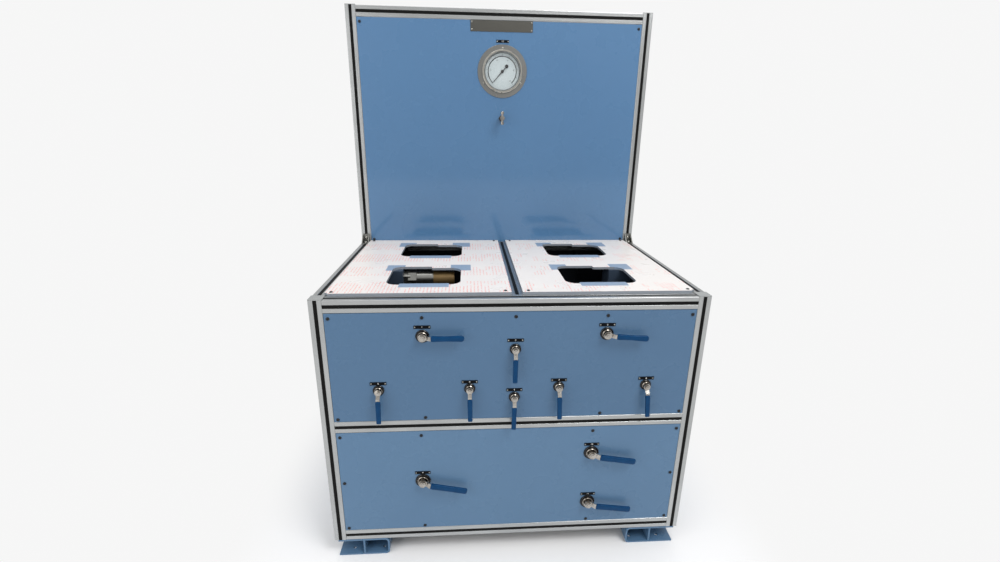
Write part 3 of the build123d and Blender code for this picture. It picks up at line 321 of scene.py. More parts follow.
MATERIALS = {
    # Painted light and shade: the three panel blues stand for one paint, toned apart per panel for the light
    # that falls on each.
    "board": panel_paint("backboard_paint", srgb(76, 115, 153), srgb(69, 108, 147), 0.9),
    "upper": panel_paint("upper_panel_paint", srgb(78, 108, 138), srgb(71, 102, 133)),
    "lower": panel_paint("lower_panel_paint", srgb(88, 119, 149), srgb(81, 112, 143)),
    "deck": powder_coat("deck_plate_paint", srgb(140, 146, 154), srgb(122, 130, 140)),
    "skid": powder_coat("skid_paint", srgb(82, 114, 144), srgb(70, 100, 130), (0.22, 0.36)),
    "alu_x": anodised("anodised_along_x", (0.004, 1, 1)),
    "alu_y": anodised("anodised_along_y", (1, 0.004, 1)),
    "alu_z": anodised("anodised_along_z", (1, 1, 0.004)),
    "strip": slot_strip("slot_strip_black"),
    "cap": moulded("cap_grey_nylon", srgb(142, 144, 144), srgb(164, 166, 164), (0.4, 0.55), 900.0, 0.08 * MM),
    "bracket": turned_steel("bracket_die_cast", srgb(132, 132, 128), (0.34, 0.5), srgb(110, 110, 106), 0.5),
    "zinc": turned_steel("zinc_plated", srgb(186, 186, 180), (0.25, 0.4)),
    "black_screw": moulded("black_oxide", srgb(22, 23, 26), srgb(38, 38, 42), (0.3, 0.45), 700.0, 0.02 * MM),
    "steel": turned_steel("polished_stainless", srgb(196, 192, 186), (0.08, 0.2), srgb(116, 110, 102)),
    "valve_steel": turned_steel("valve_stainless", srgb(158, 152, 144), (0.12, 0.26), srgb(84, 78, 70), 0.8),
    "sleeve_steel": turned_steel("sleeve_steel", srgb(140, 140, 136), (0.26, 0.36), srgb(112, 112, 108),
                                 amount=0.4, metallic=0.95),
    "satin_steel": turned_steel("satin_stainless", srgb(172, 168, 160), (0.28, 0.42)),
    "dark_steel": turned_steel("pipe_steel", srgb(84, 84, 84), (0.4, 0.55), srgb(60, 60, 60), 0.5),
    "flange_steel": turned_steel("flange_satin", srgb(156, 156, 153), (0.26, 0.32), srgb(142, 142, 139),
                                 amount=0.5, smears=7.0, tooling=0.0005 * MM),
    "plate_grey": turned_steel("engraved_plate", srgb(98, 97, 92), (0.38, 0.46), srgb(88, 87, 83),
                               amount=0.5, smears=12.0, tooling=0.001 * MM),
    "bezel": turned_steel("bezel_polished", srgb(208, 205, 196), (0.08, 0.14), srgb(186, 182, 172),
                          amount=0.5, smears=12.0, tooling=0.0005 * MM),
    "ring_black": moulded("ring_black", srgb(10, 10, 12), srgb(24, 24, 26), (0.1, 0.2), 400.0, 0.01 * MM),
    "tag_black": moulded("tag_laminate", srgb(5, 6, 9), srgb(12, 13, 17), (0.3, 0.42), 400.0, 0.01 * MM,
                         specular=0.1),
    "black_enamel": moulded("black_enamel", srgb(12, 12, 13), srgb(24, 24, 26), (0.3, 0.42), 600.0,
                            0.02 * MM, specular=0.15),
    "dial": moulded("dial_enamel", srgb(176, 187, 189), srgb(188, 197, 199), (0.45, 0.6), 500.0, 0.01 * MM),
    "dial_shade": moulded("painted_shade_grey", srgb(96, 102, 102), srgb(122, 128, 128), (0.5, 0.6), 500.0,
                          0.01 * MM),
    "ink": moulded("dial_ink", srgb(16, 22, 24), srgb(30, 36, 38), (0.5, 0.6), 500.0, 0.01 * MM,
                   specular=0.1),
    "white_ink": moulded("engraved_white", srgb(232, 232, 228), srgb(214, 214, 210), (0.5, 0.6), 500.0,
                         0.01 * MM),
    "glass": clear_glass("gauge_pane"),
    "grip": moulded("grip_blue_vinyl", srgb(0, 52, 92), srgb(2, 66, 110), (0.28, 0.4), 600.0, 0.03 * MM,
                    amount=0.5, specular=0.16),
    "brass": turned_steel("drawn_brass", srgb(126, 103, 66), (0.4, 0.55), srgb(104, 84, 52),
                          amount=0.5, metallic=0.5),
    "block": powder_coat("station_block_paint", srgb(56, 68, 84), srgb(46, 58, 72)),
    "film": printed_film("printed_film"),
    "tape": moulded("blue_tape", srgb(130, 148, 170), srgb(146, 162, 182), (0.32, 0.46), 300.0, 0.06 * MM),
}
NODE_MATERIAL = {
    "front_posts": "alu_z", "rear_posts": "alu_z", "cross_rails": "alu_x", "side_rails": "alu_y",
    "deck_divider_rail": "alu_y", "slot_covers": "strip", "post_caps": "cap", "corner_brackets": "bracket",
    "left_skid": "skid", "right_skid": "skid", "panel_blocks": "zinc", "upper_front_panel": "upper",
    "lower_front_panel": "lower", "backboard_panel": "board", "rear_panel": "lower", "side_panels": "lower",
    "floor_panel": "dark_steel", "left_deck_plate": "deck", "right_deck_plate": "deck",
    "gauge_case": "black_enamel", "gauge_flange": "flange_steel", "gauge_bezel": "bezel",
    "gauge_dial": "dial", "gauge_glass": "glass", "gauge_pointer": "black_enamel",
    "gauge_line": "satin_steel", "bleed_valve_body": "valve_steel", "bleed_valve_handle": "steel",
    "nameplate": "plate_grey", "engraved_tags": "tag_black", "valve_bodies": "valve_steel",
    "valve_rings": "ring_black", "pipework": "dark_steel", "station_blocks": "block",
    "station_coupling": "sleeve_steel", "station_pipe": "brass",
}
for name, node in nodes.items():
    key = NODE_MATERIAL.get(name, "grip" if name.startswith("grip_") else "steel")
    node.data.materials.clear()
    node.data.materials.append(MATERIALS[key])


# ---------------------------------------------------------------- mesh helpers
RING_POINTS = 24


def piece(name, bm, material, body=BENCH, smooth_angle=None):
    """Makes a scene object from a bmesh and lets it ride on a body."""
    mesh = bpy.data.meshes.new(name)
    bmesh.ops.recalc_face_normals(bm, faces=bm.faces)
    bm.to_mesh(mesh)
    bm.free()
    made = bpy.data.objects.new(name, mesh)
    bpy.context.scene.collection.objects.link(made)
    mesh.materials.append(MATERIALS[material])
    if smooth_angle is not None:
        mesh.polygons.foreach_set("use_smooth", [True] * len(mesh.polygons))
        mesh.set_sharp_from_angle(angle=math.radians(smooth_angle))
    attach(made, body)
    return made


def facing_front(x, y, z, turn=0.0):
    """Matrix of a plane that faces the operator: X to their right and turned by degrees, Z towards them."""
    return (Matrix.Translation((x, y, z)) @ Matrix.Rotation(math.pi / 2, 4, "X")
            @ Matrix.Rotation(math.radians(turn), 4, "Z"))


def facing(direction, place):
    """Matrix that puts local Z along a direction at a place."""
    return Matrix.Translation(place) @ Vector(direction).to_track_quat("Z", "Y").to_matrix().to_4x4()


def add_rings(bm, matrix, rings):
    """Skins a list of closed rings of points and caps its ends."""
    made = [[bm.verts.new(matrix @ Vector(point)) for point in ring] for ring in rings]
    count = len(rings[0])
    for lower, upper in zip(made, made[1:]):
        for i in range(count):
            j = (i + 1) % count
            bm.faces.new((lower[i], lower[j], upper[j], upper[i]))
    bm.faces.new(reversed(made[0]))
    bm.faces.new(made[-1])


def add_plate(bm, matrix, points, depth):
    """Thin plate from a closed outline in the local plane."""
    add_rings(bm, matrix, [[(x, y, 0) for x, y in points], [(x, y, depth) for x, y in points]])


def add_box(bm, corners, lift):
    """Closed thin sheet between four corners and the same corners moved by lift."""
    add_rings(bm, Matrix(), [corners, [tuple(Vector(corner) + Vector(lift)) for corner in corners]])


def round_ring(radius, height, sides=0):
    """Points of a circle, or of a regular polygon with the same number of points."""
    points = []
    for i in range(RING_POINTS):
        angle = 2 * math.pi * i / RING_POINTS
        reach = radius
        if sides:
            sector = 2 * math.pi / sides
            reach = radius * math.cos(sector / 2) / math.cos((angle % sector) - sector / 2)
        points.append((reach * math.cos(angle), reach * math.sin(angle), height))
    return points


def arc_band(bm, matrix, radius, width, start, end, depth, steps=60):
    """Thin band along an arc, from start to end in degrees."""
    angles = [math.radians(start + (end - start) * i / steps) for i in range(steps + 1)]
    outer = [((radius + width / 2) * math.cos(a), (radius + width / 2) * math.sin(a)) for a in angles]
    inner = [((radius - width / 2) * math.cos(a), (radius - width / 2) * math.sin(a))
             for a in reversed(angles)]
    rings = [[(x, y, z) for x, y in outer + inner] for z in (0.0, depth)]
    made = [[bm.verts.new(matrix @ Vector(point)) for point in ring] for ring in rings]
    count = len(made[0])
    for i in range(count):
        j = (i + 1) % count
        bm.faces.new((made[0][i], made[0][j], made[1][j], made[1][i]))
    for layer in made:
        for i in range(steps):
            bm.faces.new((layer[i], layer[i + 1], layer[count - 2 - i], layer[count - 1 - i]))


def add_screw(bm, matrix, size):
    """Button head with a hexagon socket, standing on the local plane z = 0."""
    rings = [round_ring(size.radius * share, size.height * rise) for share, rise in HEAD_PROFILE]
    rings.append(round_ring(size.socket, size.height, SOCKET_SIDES))
    rings.append(round_ring(size.socket * SOCKET_TAPER, size.height * SOCKET_FLOOR, SOCKET_SIDES))
    add_rings(bm, matrix, rings)


def screws(name, places, size=PANEL_SCREW, material="black_screw"):
    """One piece that holds a group of screws, each at a (direction, place)."""
    bm = bmesh.new()
    for direction, place in places:
        turn = Matrix.Rotation(random.uniform(0, 2 * math.pi / SOCKET_SIDES), 4, "Z")
        add_screw(bm, facing(direction, place) @ turn, size)
    piece(name, bm, material, smooth_angle=35)


# ---------------------------------------------------------------- places read from the frame
VALVE_COUNT = 11
joint_places = {joint["name"]: Vector(joint["pos_m"]) for joint in frame["joints"]}
valve_places = [joint_places[f"valve_{number}_turn"] for number in range(1, VALVE_COUNT + 1)]
FRONT, BACK, UP, DOWN = (0, -1, 0), (0, 1, 0), (0, 0, 1), (0, 0, -1)
upper_low, upper_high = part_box("upper_front_panel")
lower_low, lower_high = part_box("lower_front_panel")
board_low, board_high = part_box("backboard_panel")
rear_panel_low, rear_panel_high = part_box("rear_panel")
side_low, side_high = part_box("side_panels")
deck_low, deck_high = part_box("left_deck_plate")
profile = front_high.y - front_low.y        # width of the slotted section
inner_x = front_high.x - profile            # inner faces of the right posts
post_x = inner_x + profile / 2
board_post_y = rear_high.y - profile        # front faces of the rear posts
frame_depth = rear_high.y - front_low.y
deck_rail_z = front_high.z
bottom_z = front_low.z
panel_front_y = upper_low.y
backboard_y = board_low.y


def valve_x(number):
    """Place of a valve's axis across the bench."""
    return valve_places[number - 1].x


# ---------------------------------------------------------------- panel screws and frame bolts
edge_gap = upper_low.x + inner_x            # post or rail to the edge of a panel
drop, rise = SCREW_DROP - edge_gap, SCREW_RISE - edge_gap      # edge of a panel to its screws
left_edge, right_edge = SCREW_SIDE - inner_x, inner_x - SCREW_SIDE

top_columns = (left_edge, valve_x(1), valve_x(3), valve_x(2), right_edge)
bottom_columns = (left_edge, valve_x(1), valve_x(2), right_edge)
upper_places = [(x, upper_high.z - drop) for x in top_columns]
upper_places += [(x, upper_low.z + rise) for x in bottom_columns]
screws("upper_panel_screws", [(FRONT, (x, panel_front_y, z)) for x, z in upper_places])

lower_columns = (left_edge, valve_x(9), valve_x(10), right_edge)
lower_places = [(x, z) for x in lower_columns for z in (lower_high.z - drop, lower_low.z + rise)]
lower_places += [(x, (lower_low.z + lower_high.z) / 2) for x in (left_edge, right_edge)]
screws("lower_panel_screws", [(FRONT, (x, panel_front_y, z)) for x, z in lower_places])

board_rows = (board_high.z - drop, deck_high.z + BOARD_SCREW_RISE)
screws("backboard_screws", [(FRONT, (x, backboard_y, z))
                            for x in (left_edge, right_edge) for z in board_rows])
rear_rows = (rear_panel_low.z + rise, rear_panel_high.z - drop)
screws("rear_panel_screws", [(BACK, (x, rear_panel_high.y, z))
                             for x in (left_edge, right_edge) for z in rear_rows])
side_rows = (side_low.z + rise, side_high.z - drop)
screws("side_panel_screws", [((side, 0, 0), (side * side_high.x, front_low.y + frame_depth * share, z))
                             for side in (-1, 1) for share in SIDE_SCREW_SHARES for z in side_rows],
       SIDE_SCREW)
deck_places = []
for plate in ("left_deck_plate", "right_deck_plate"):
    low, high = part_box(plate)
    deck_places += [(x, y) for x in (low.x + DECK_SCREW_INSET, high.x - DECK_SCREW_INSET)
                    for y in (low.y + DECK_SCREW_SETBACK, high.y - DECK_SCREW_SETBACK)]
screws("deck_screws", [(UP, (x, y, deck_high.z)) for x, y in deck_places])

bracket_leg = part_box("corner_brackets")[1].z - deck_rail_z
bolt_reach = (bracket_leg + BRACKET_WALL) / 2       # corner to the middle of the clear part of a leg
bracket_corners = []
for side in (-1, 1):
    x = side * post_x
    bracket_corners.append(((x, board_post_y, deck_rail_z), FRONT, UP))
    for z, up in ((bottom_z + profile, UP), (deck_rail_z - profile, DOWN)):
        bracket_corners.append(((x, front_high.y, z), BACK, up))
        bracket_corners.append(((x, board_post_y, z), FRONT, up))
bolt_places = []
for corner, along, up in bracket_corners:
    corner, along, up = Vector(corner), Vector(along), Vector(up)
    bolt_places.append((up, corner + along * bolt_reach + up * BRACKET_WALL))
    bolt_places.append((along, corner + up * bolt_reach + along * BRACKET_WALL))
screws("bracket_bolts", bolt_places, FRAME_BOLT, "zinc")
screws("skid_bolts", [(DOWN, (side * post_x, front_low.y + frame_depth * share, bottom_z - SKID_PLATE))
                      for side in (-1, 1) for share in SKID_BOLT_SHARES], FRAME_BOLT, "zinc")


# ---------------------------------------------------------------- protective film and tape on the deck
FILM_LIFT = 0.15 * MM
FILM_THICKNESS = 0.2 * MM
TAPE_LIFT = 0.4 * MM
TAPE_THICKNESS = 0.25 * MM
TAPE_FOLD = 6.5 * MM            # tape folded down over the edge of an opening
TAPE_FOLD_NEAR = 0.05 * MM      # that edge to the near face of the folded tape
TAPE_FOLD_FAR = 0.3 * MM        # that edge to the far face of the folded tape
TAPE_OVERHANG = 15.0 * MM       # tape that sticks out over the front edge of an opening
TAPE_OVERLAP = 1.0 * MM         # start of that tape, in front of the edge
TAPE_DROOP = 1.5 * MM
DROOP_STEPS = 4
TAPE_SHAKE = 3.0 * MM           # farthest that a side of a patch strays
# Side of an opening to the sides of the patch at its back corner, outwards and inwards.
LEFT_TAPE_OUT, LEFT_TAPE_IN = 24.0 * MM, 41.0 * MM
RIGHT_TAPE_OUT, RIGHT_TAPE_IN = 33.0 * MM, 38.0 * MM
# Back edge of an opening to the front and back of that patch.
LEFT_TAPE_FRONT, LEFT_TAPE_BACK = 48.0 * MM, 20.0 * MM
RIGHT_TAPE_FRONT, RIGHT_TAPE_BACK = 32.0 * MM, 40.0 * MM
FRONT_TAPE_DEPTH = 26.0 * MM
LEVEL_TOLERANCE = 1e-5          # faces lower than this below the top of a plate aren't its top faces
MERGE_DISTANCE = 1e-6
STRAIGHT_ANGLE = 0.01           # radians; edges and faces that turn less are joined
WINDOW_MARGIN = 0.3 * MM        # an edge nearer than this to the window's side belongs to the window
SHORTEST_FOLD = 0.05 * MM

# Openings of the deck plates, as in the part's source.
OPENING_WIDTH = 236.0 * MM
OPENING_DEPTH = 188.0 * MM
OPENING_STEP = 18.0 * MM
OPENING_PITCH = 353.0 * MM
OPENING_SETBACK = 81.0 * MM
OPENING_X = {"left": -281.0 * MM, "right": 295.0 * MM}


def thicken(bm, thickness):
    """Gives a flat sheet its thickness, upwards."""
    raised = bmesh.ops.extrude_face_region(bm, geom=list(bm.faces))
    for item in raised["geom"]:
        if isinstance(item, bmesh.types.BMVert):
            item.co.z += thickness


def top_sheet(plate, lift, window=None):
    """Flat sheet above the top faces of a deck plate, cut to a window (low x, high x, low y, high y)."""
    sheet = bmesh.new()
    sheet.from_mesh(nodes[plate].data)
    top = max(vertex.co.z for vertex in sheet.verts)
    other = [face for face in sheet.faces
             if any(top - vertex.co.z > LEVEL_TOLERANCE for vertex in face.verts)]
    bmesh.ops.delete(sheet, geom=other, context="FACES")
    bmesh.ops.remove_doubles(sheet, verts=sheet.verts, dist=MERGE_DISTANCE)
    if window:
        left, right, front, back = window
        cuts = (((left, 0, 0), (-1, 0, 0)), ((right, 0, 0), (1, 0, 0)),
                ((0, front, 0), FRONT), ((0, back, 0), BACK))
        for place, normal in cuts:
            geometry = list(sheet.verts) + list(sheet.edges) + list(sheet.faces)
            bmesh.ops.bisect_plane(sheet, geom=geometry, plane_co=place, plane_no=normal, clear_outer=True)
    bmesh.ops.dissolve_limit(sheet, angle_limit=STRAIGHT_ANGLE, verts=sheet.verts, edges=sheet.edges)
    for vertex in sheet.verts:
        vertex.co.z = top + lift
    return sheet


def opening_edges(sheet, plate, window):
    """Edges of a sheet that border an opening, inside the window: two ends and the side of the opening."""
    low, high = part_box(plate)
    left, right, front, back = window
    found = []
    for edge in sheet.edges:
        if len(edge.link_faces) != 1:
            continue
        first, second = (Vector(vertex.co.xy) for vertex in edge.verts)
        middle = (first + second) / 2
        margins = [abs(middle.x - limit) for limit in (left, right, low.x, high.x)]
        margins += [abs(middle.y - limit) for limit in (front, back, low.y, high.y)]
        if min(margins) < WINDOW_MARGIN or (second - first).length < SHORTEST_FOLD:
            continue
        side = Vector((second.y - first.y, first.x - second.x)).normalized()
        face_middle = Vector(edge.link_faces[0].calc_center_median().xy)
        if side.dot(middle - face_middle) < 0:
            side = -side
        found.append((first, second, side))
    return found


def add_overhang(bm, window, top):
    """Strip of tape that sticks out over the front edge of an opening and droops."""
    left, right, _, edge = window
    length = TAPE_OVERHANG + TAPE_OVERLAP
    rows = [(edge - TAPE_OVERLAP + length * i / DROOP_STEPS, top - TAPE_DROOP * (i / DROOP_STEPS) ** 2)
            for i in range(DROOP_STEPS + 1)]
    outline = rows + [(y, z + TAPE_THICKNESS) for y, z in reversed(rows)]
    add_rings(bm, Matrix(), [[(x, y, z) for y, z in outline] for x in (left, right)])


def add_fold(bm, first, second, side, top):
    """Strip of tape folded down along one edge of an opening."""
    near, far = side * TAPE_FOLD_NEAR, side * TAPE_FOLD_FAR
    corners = [(*(first + near), top), (*(second + near), top),
               (*(second + near), top - TAPE_FOLD), (*(first + near), top - TAPE_FOLD)]
    add_box(bm, corners, (*(far - near), 0.0))


def tape_patch(name, plate, window, overhang):
    """Patch of tape on a deck plate, folded down or sticking out where it meets an opening."""
    bm = top_sheet(plate, TAPE_LIFT, window)
    edges = opening_edges(bm, plate, window)
    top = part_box(plate)[1].z + TAPE_LIFT
    thicken(bm, TAPE_THICKNESS)
    if overhang:
        add_overhang(bm, window, top)
    else:
        for first, second, side in edges:
            add_fold(bm, first, second, side, top)
    piece(name, bm, "tape")


def tape_windows(centre_x, front_edge):
    """Windows of the three tape patches round one opening."""
    left, right = centre_x - OPENING_WIDTH / 2, centre_x + OPENING_WIDTH / 2
    back = front_edge + OPENING_DEPTH
    deep_back = back + OPENING_STEP

    def shaken(value):
        return value + random.uniform(-TAPE_SHAKE, TAPE_SHAKE)
    return {
        "back_left": (shaken(left - LEFT_TAPE_OUT), shaken(left + LEFT_TAPE_IN),
                      deep_back - LEFT_TAPE_FRONT, deep_back + LEFT_TAPE_BACK),
        "back_right": (shaken(right - RIGHT_TAPE_IN), shaken(right + RIGHT_TAPE_OUT),
                       back - RIGHT_TAPE_FRONT, back + RIGHT_TAPE_BACK),
        "front": (shaken(left + LEFT_TAPE_IN), shaken(right - RIGHT_TAPE_IN),
                  shaken(front_edge - FRONT_TAPE_DEPTH), front_edge),
    }


for side in ("left", "right"):
    film = top_sheet(f"{side}_deck_plate", FILM_LIFT)
    thicken(film, FILM_THICKNESS)
    piece(f"deck_film_{side}", film, "film")
for side, centre_x in OPENING_X.items():
    for row, row_name in enumerate(("front", "rear")):
        front_edge = deck_low.y + OPENING_SETBACK + row * OPENING_PITCH
        for patch, window in tape_windows(centre_x, front_edge).items():
            tape_patch(f"tape_{side}_{row_name}_{patch}", f"{side}_deck_plate", window, patch == "front")


# ---------------------------------------------------------------- lever grips
GRIP_LIP = 1.2 * MM             # rounded lip at the mouth of a grip
GRIP_TIP = 9.0 * MM             # rounded tip of a grip
GRIP_INSET = 0.05 * MM          # keeps both ends inside the CAD grip
GRIP_MOUTH, GRIP_MID_LIP = (0.88, 0.80), (0.97, 0.94)   # shares of the full width and thickness
GRIP_BODY_STEPS, GRIP_TIP_STEPS = 16, 7
GRIP_RING_POINTS = 28
GRIP_ROUNDNESS = 0.55           # 1 is an ellipse, 0 a rectangle
GRIP_TIP_CURVE = 0.6            # power of the cosine that thins the tip
GRIP_TIP_THINNEST = 0.25        # share of the full thickness at the end of the tip
LEVEL_EDGE = 1e-9               # an edge that runs less than this along the lever lies across it


def grip_ring(x, half_width, half_thick, middle):
    """Rounded cross-section of a grip at a distance along the lever."""
    ring = []
    for i in range(GRIP_RING_POINTS):
        angle = 2 * math.pi * i / GRIP_RING_POINTS
        across, out = math.cos(angle), math.sin(angle)
        ring.append((x, half_width * math.copysign(abs(across) ** GRIP_ROUNDNESS, across),
                     middle + half_thick * math.copysign(abs(out) ** GRIP_ROUNDNESS, out)))
    return ring


def grip_stations(start, end):
    """Distances along a grip, each with its shares of the full width and of the full thickness."""
    body = end - start - GRIP_LIP - GRIP_TIP
    stations = [(start + GRIP_INSET, *GRIP_MOUTH), (start + GRIP_LIP / 2, *GRIP_MID_LIP),
                (start + GRIP_LIP, 1.0, 1.0)]
    for step in range(1, GRIP_BODY_STEPS + 1):
        stations.append((start + GRIP_LIP + body * step / GRIP_BODY_STEPS, 1.0, 1.0))
    for step in range(1, GRIP_TIP_STEPS + 1):
        angle = math.radians(90 * step / GRIP_TIP_STEPS)
        x = end - GRIP_TIP + (GRIP_TIP - GRIP_INSET) * math.sin(angle)
        stations.append((x, 1.0, max(math.cos(angle) ** GRIP_TIP_CURVE, GRIP_TIP_THINNEST)))
    return stations


def half_width_at(edges, x):
    """Half the width of a mesh, given as pairs of points, where a plane across x cuts it."""
    widths = [0.0]
    for first, second in edges:
        if min(first.x, second.x) <= x <= max(first.x, second.x):
            run = second.x - first.x
            share = 0.5 if abs(run) < LEVEL_EDGE else (x - first.x) / run
            widths.append(abs(first.y + (second.y - first.y) * share))
    return max(widths)


def lever_turn(number, place):
    """Direction of a lever at rest, anticlockwise from the operator's right, from its CAD grip."""
    points = [vertex.co for vertex in nodes[f"grip_{number}"].data.vertices]
    offset = sum(points, Vector()) / len(points) - place
    return math.degrees(math.atan2(offset.z, offset.x))


def make_grip(number, place, turn):
    """Dipped vinyl grip with soft edges, in the outline of the CAD grip of one lever."""
    matrix = facing_front(place.x, panel_front_y, place.z, turn)
    local = matrix.inverted()
    mesh = nodes[f"grip_{number}"].data
    points = [local @ vertex.co for vertex in mesh.vertices]
    edges = [(points[edge.vertices[0]], points[edge.vertices[1]]) for edge in mesh.edges]
    start, end = min(point.x for point in points), max(point.x for point in points)
    inner, outer = min(point.z for point in points), max(point.z for point in points)
    middle, half_thick = (inner + outer) / 2, (outer - inner) / 2
    rings = [grip_ring(x, half_width_at(edges, x) * wide, half_thick * thick, middle)
             for x, wide, thick in grip_stations(start, end)]
    bm = bmesh.new()
    add_rings(bm, matrix, rings)
    made = piece(f"grip_sleeve_{number}", bm, "grip", f"valve_lever_{number}", smooth_angle=60)
    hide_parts(f"grip_{number}")


for number, place in enumerate(valve_places, start=1):
    make_grip(number, place, lever_turn(number, place))

# ---------------------------------------------------------------- hexagonal band of the station coupling
NUT_SIDES = 6
NUT_CORNER = 27.4 * MM          # radius over the corners
NUT_START = 14.0 * MM           # left end of the coupling to the band
NUT_LENGTH = 32.0 * MM
NUT_CHAMFER = 2.0 * MM
coupling_low, coupling_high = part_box("station_coupling")
coupling_middle = (coupling_low + coupling_high) / 2
nut = facing((1, 0, 0), (coupling_low.x + NUT_START, coupling_middle.y, coupling_middle.z))
nut_rings = ((NUT_CORNER - NUT_CHAMFER, 0.0), (NUT_CORNER, NUT_CHAMFER),
             (NUT_CORNER, NUT_LENGTH - NUT_CHAMFER), (NUT_CORNER - NUT_CHAMFER, NUT_LENGTH))
bm = bmesh.new()
add_rings(bm, nut, [round_ring(radius, height, NUT_SIDES) for radius, height in nut_rings])
piece("coupling_nut", bm, "sleeve_steel")

# ---------------------------------------------------------------- gauge
INK = 0.08 * MM                             # thickness of the printed marks
SCALE_START, SCALE_END = 228.0, -48.0       # degrees anticlockwise from the operator's right
SCALE_RADIUS, SCALE_WIDTH = 56.5 * MM, 3.4 * MM
SCALE_TOP = 10                              # number at the end of the scale
TICK_STEPS, LONG_TICK_STEPS = 50, 5
LONG_TICK, SHORT_TICK = (6.5 * MM, 1.1 * MM), (3.5 * MM, 0.5 * MM)      # length and width
TICK_OFFSET = 1.0 * MM                      # middle of the scale's band out to the ticks
NUMBER_OFFSET = 10.0 * MM                   # middle of the scale's band in to the numbers
DIAL_NUMBER_SIZE = 9.0 * MM
NUMBER_DEPTH = 0.06 * MM
DIAL_EDGE_RADIUS, DIAL_EDGE_WIDTH = 70.0 * MM, 4.0 * MM
FULL_TURN = 359.9                           # degrees, so that the ends of a round band don't meet
FULL_TURN_STEPS = 90
# Width, gap to the bezel and height of the ring of painted shadow round the bezel.
BEZEL_SHADE_WIDTH, BEZEL_SHADE_GAP, BEZEL_SHADE_HEIGHT = 1.8 * MM, 0.4 * MM, 0.32 * MM
FLANGE_SCREW_CIRCLE = 86.0 * MM
FLANGE_SCREW_ANGLES = (90, 210, 330)
gauge_place = joint_places["gauge_needle_turn"]
dial = facing_front(gauge_place.x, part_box("gauge_dial")[0].y, gauge_place.z)
flange_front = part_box("gauge_flange")[0].y
flange_face = facing_front(gauge_place.x, flange_front, gauge_place.z)


def scale_angle(step, steps):
    """Direction of a step of the dial's scale, in degrees anticlockwise from the operator's right."""
    return SCALE_START + (SCALE_END - SCALE_START) * step / steps


def number_mark(name, number, matrix, size, material):
    """Plain number made from the default typeface, as a mesh."""
    curve = bpy.data.curves.new(name + "_curve", "FONT")
    curve.body = str(number)
    curve.size = size
    curve.align_x = "CENTER"
    curve.align_y = "CENTER"
    curve.extrude = NUMBER_DEPTH / 2
    curve.resolution_u = 3
    holder = bpy.data.objects.new(name + "_holder", curve)
    bpy.context.scene.collection.objects.link(holder)
    bpy.context.view_layer.update()
    mesh = bpy.data.meshes.new_from_object(holder)
    bpy.data.objects.remove(holder)
    bm = bmesh.new()
    bm.from_mesh(mesh)
    bpy.data.meshes.remove(mesh)
    bmesh.ops.remove_doubles(bm, verts=bm.verts, dist=MERGE_DISTANCE)
    bmesh.ops.transform(bm, matrix=matrix @ Matrix.Translation((0, 0, NUMBER_DEPTH / 2)), verts=bm.verts)
    piece(name, bm, material)


bm = bmesh.new()
arc_band(bm, dial, SCALE_RADIUS, SCALE_WIDTH, SCALE_START, SCALE_END, INK)
for step in range(TICK_STEPS + 1):
    length, width = SHORT_TICK if step % LONG_TICK_STEPS else LONG_TICK
    tick = (dial @ Matrix.Rotation(math.radians(scale_angle(step, TICK_STEPS)), 4, "Z")
            @ Matrix.Translation((SCALE_RADIUS + TICK_OFFSET, 0, 0)))
    add_plate(bm, tick, [(0, -width / 2), (length, -width / 2), (length, width / 2), (0, width / 2)], INK)
piece("dial_scale", bm, "ink")
# Painted shade: a grey ring round the edge of the dial, for the shade that the bezel casts on the recessed
# dial.
bm = bmesh.new()
arc_band(bm, dial, DIAL_EDGE_RADIUS, DIAL_EDGE_WIDTH, 0.0, FULL_TURN, INK, FULL_TURN_STEPS)
piece("dial_edge", bm, "dial_shade")
for number in range(0, SCALE_TOP + 1, 2):
    angle = math.radians(scale_angle(number, SCALE_TOP))
    reach = SCALE_RADIUS - NUMBER_OFFSET
    at = dial @ Matrix.Translation((reach * math.cos(angle), reach * math.sin(angle), 0))
    number_mark(f"dial_number_{number}", number, at, DIAL_NUMBER_SIZE, "ink")

# Painted shadow: a dark ring on the flange just outside the bezel, for the shadow line between flange and
# bezel.
bezel_low, bezel_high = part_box("gauge_bezel")
bezel_shade_radius = (bezel_high.x - bezel_low.x + BEZEL_SHADE_WIDTH) / 2 + BEZEL_SHADE_GAP
bm = bmesh.new()
arc_band(bm, flange_face, bezel_shade_radius, BEZEL_SHADE_WIDTH, 0.0, FULL_TURN, BEZEL_SHADE_HEIGHT, FULL_TURN_STEPS)
piece("bezel_shade_ring", bm, "dial_shade")
flange_places = []
for angle in map(math.radians, FLANGE_SCREW_ANGLES):
    x = gauge_place.x + FLANGE_SCREW_CIRCLE * math.cos(angle)
    flange_places.append((FRONT, (x, flange_front, gauge_place.z + FLANGE_SCREW_CIRCLE * math.sin(angle))))
screws("gauge_screws", flange_places, FLANGE_SCREW, "zinc")

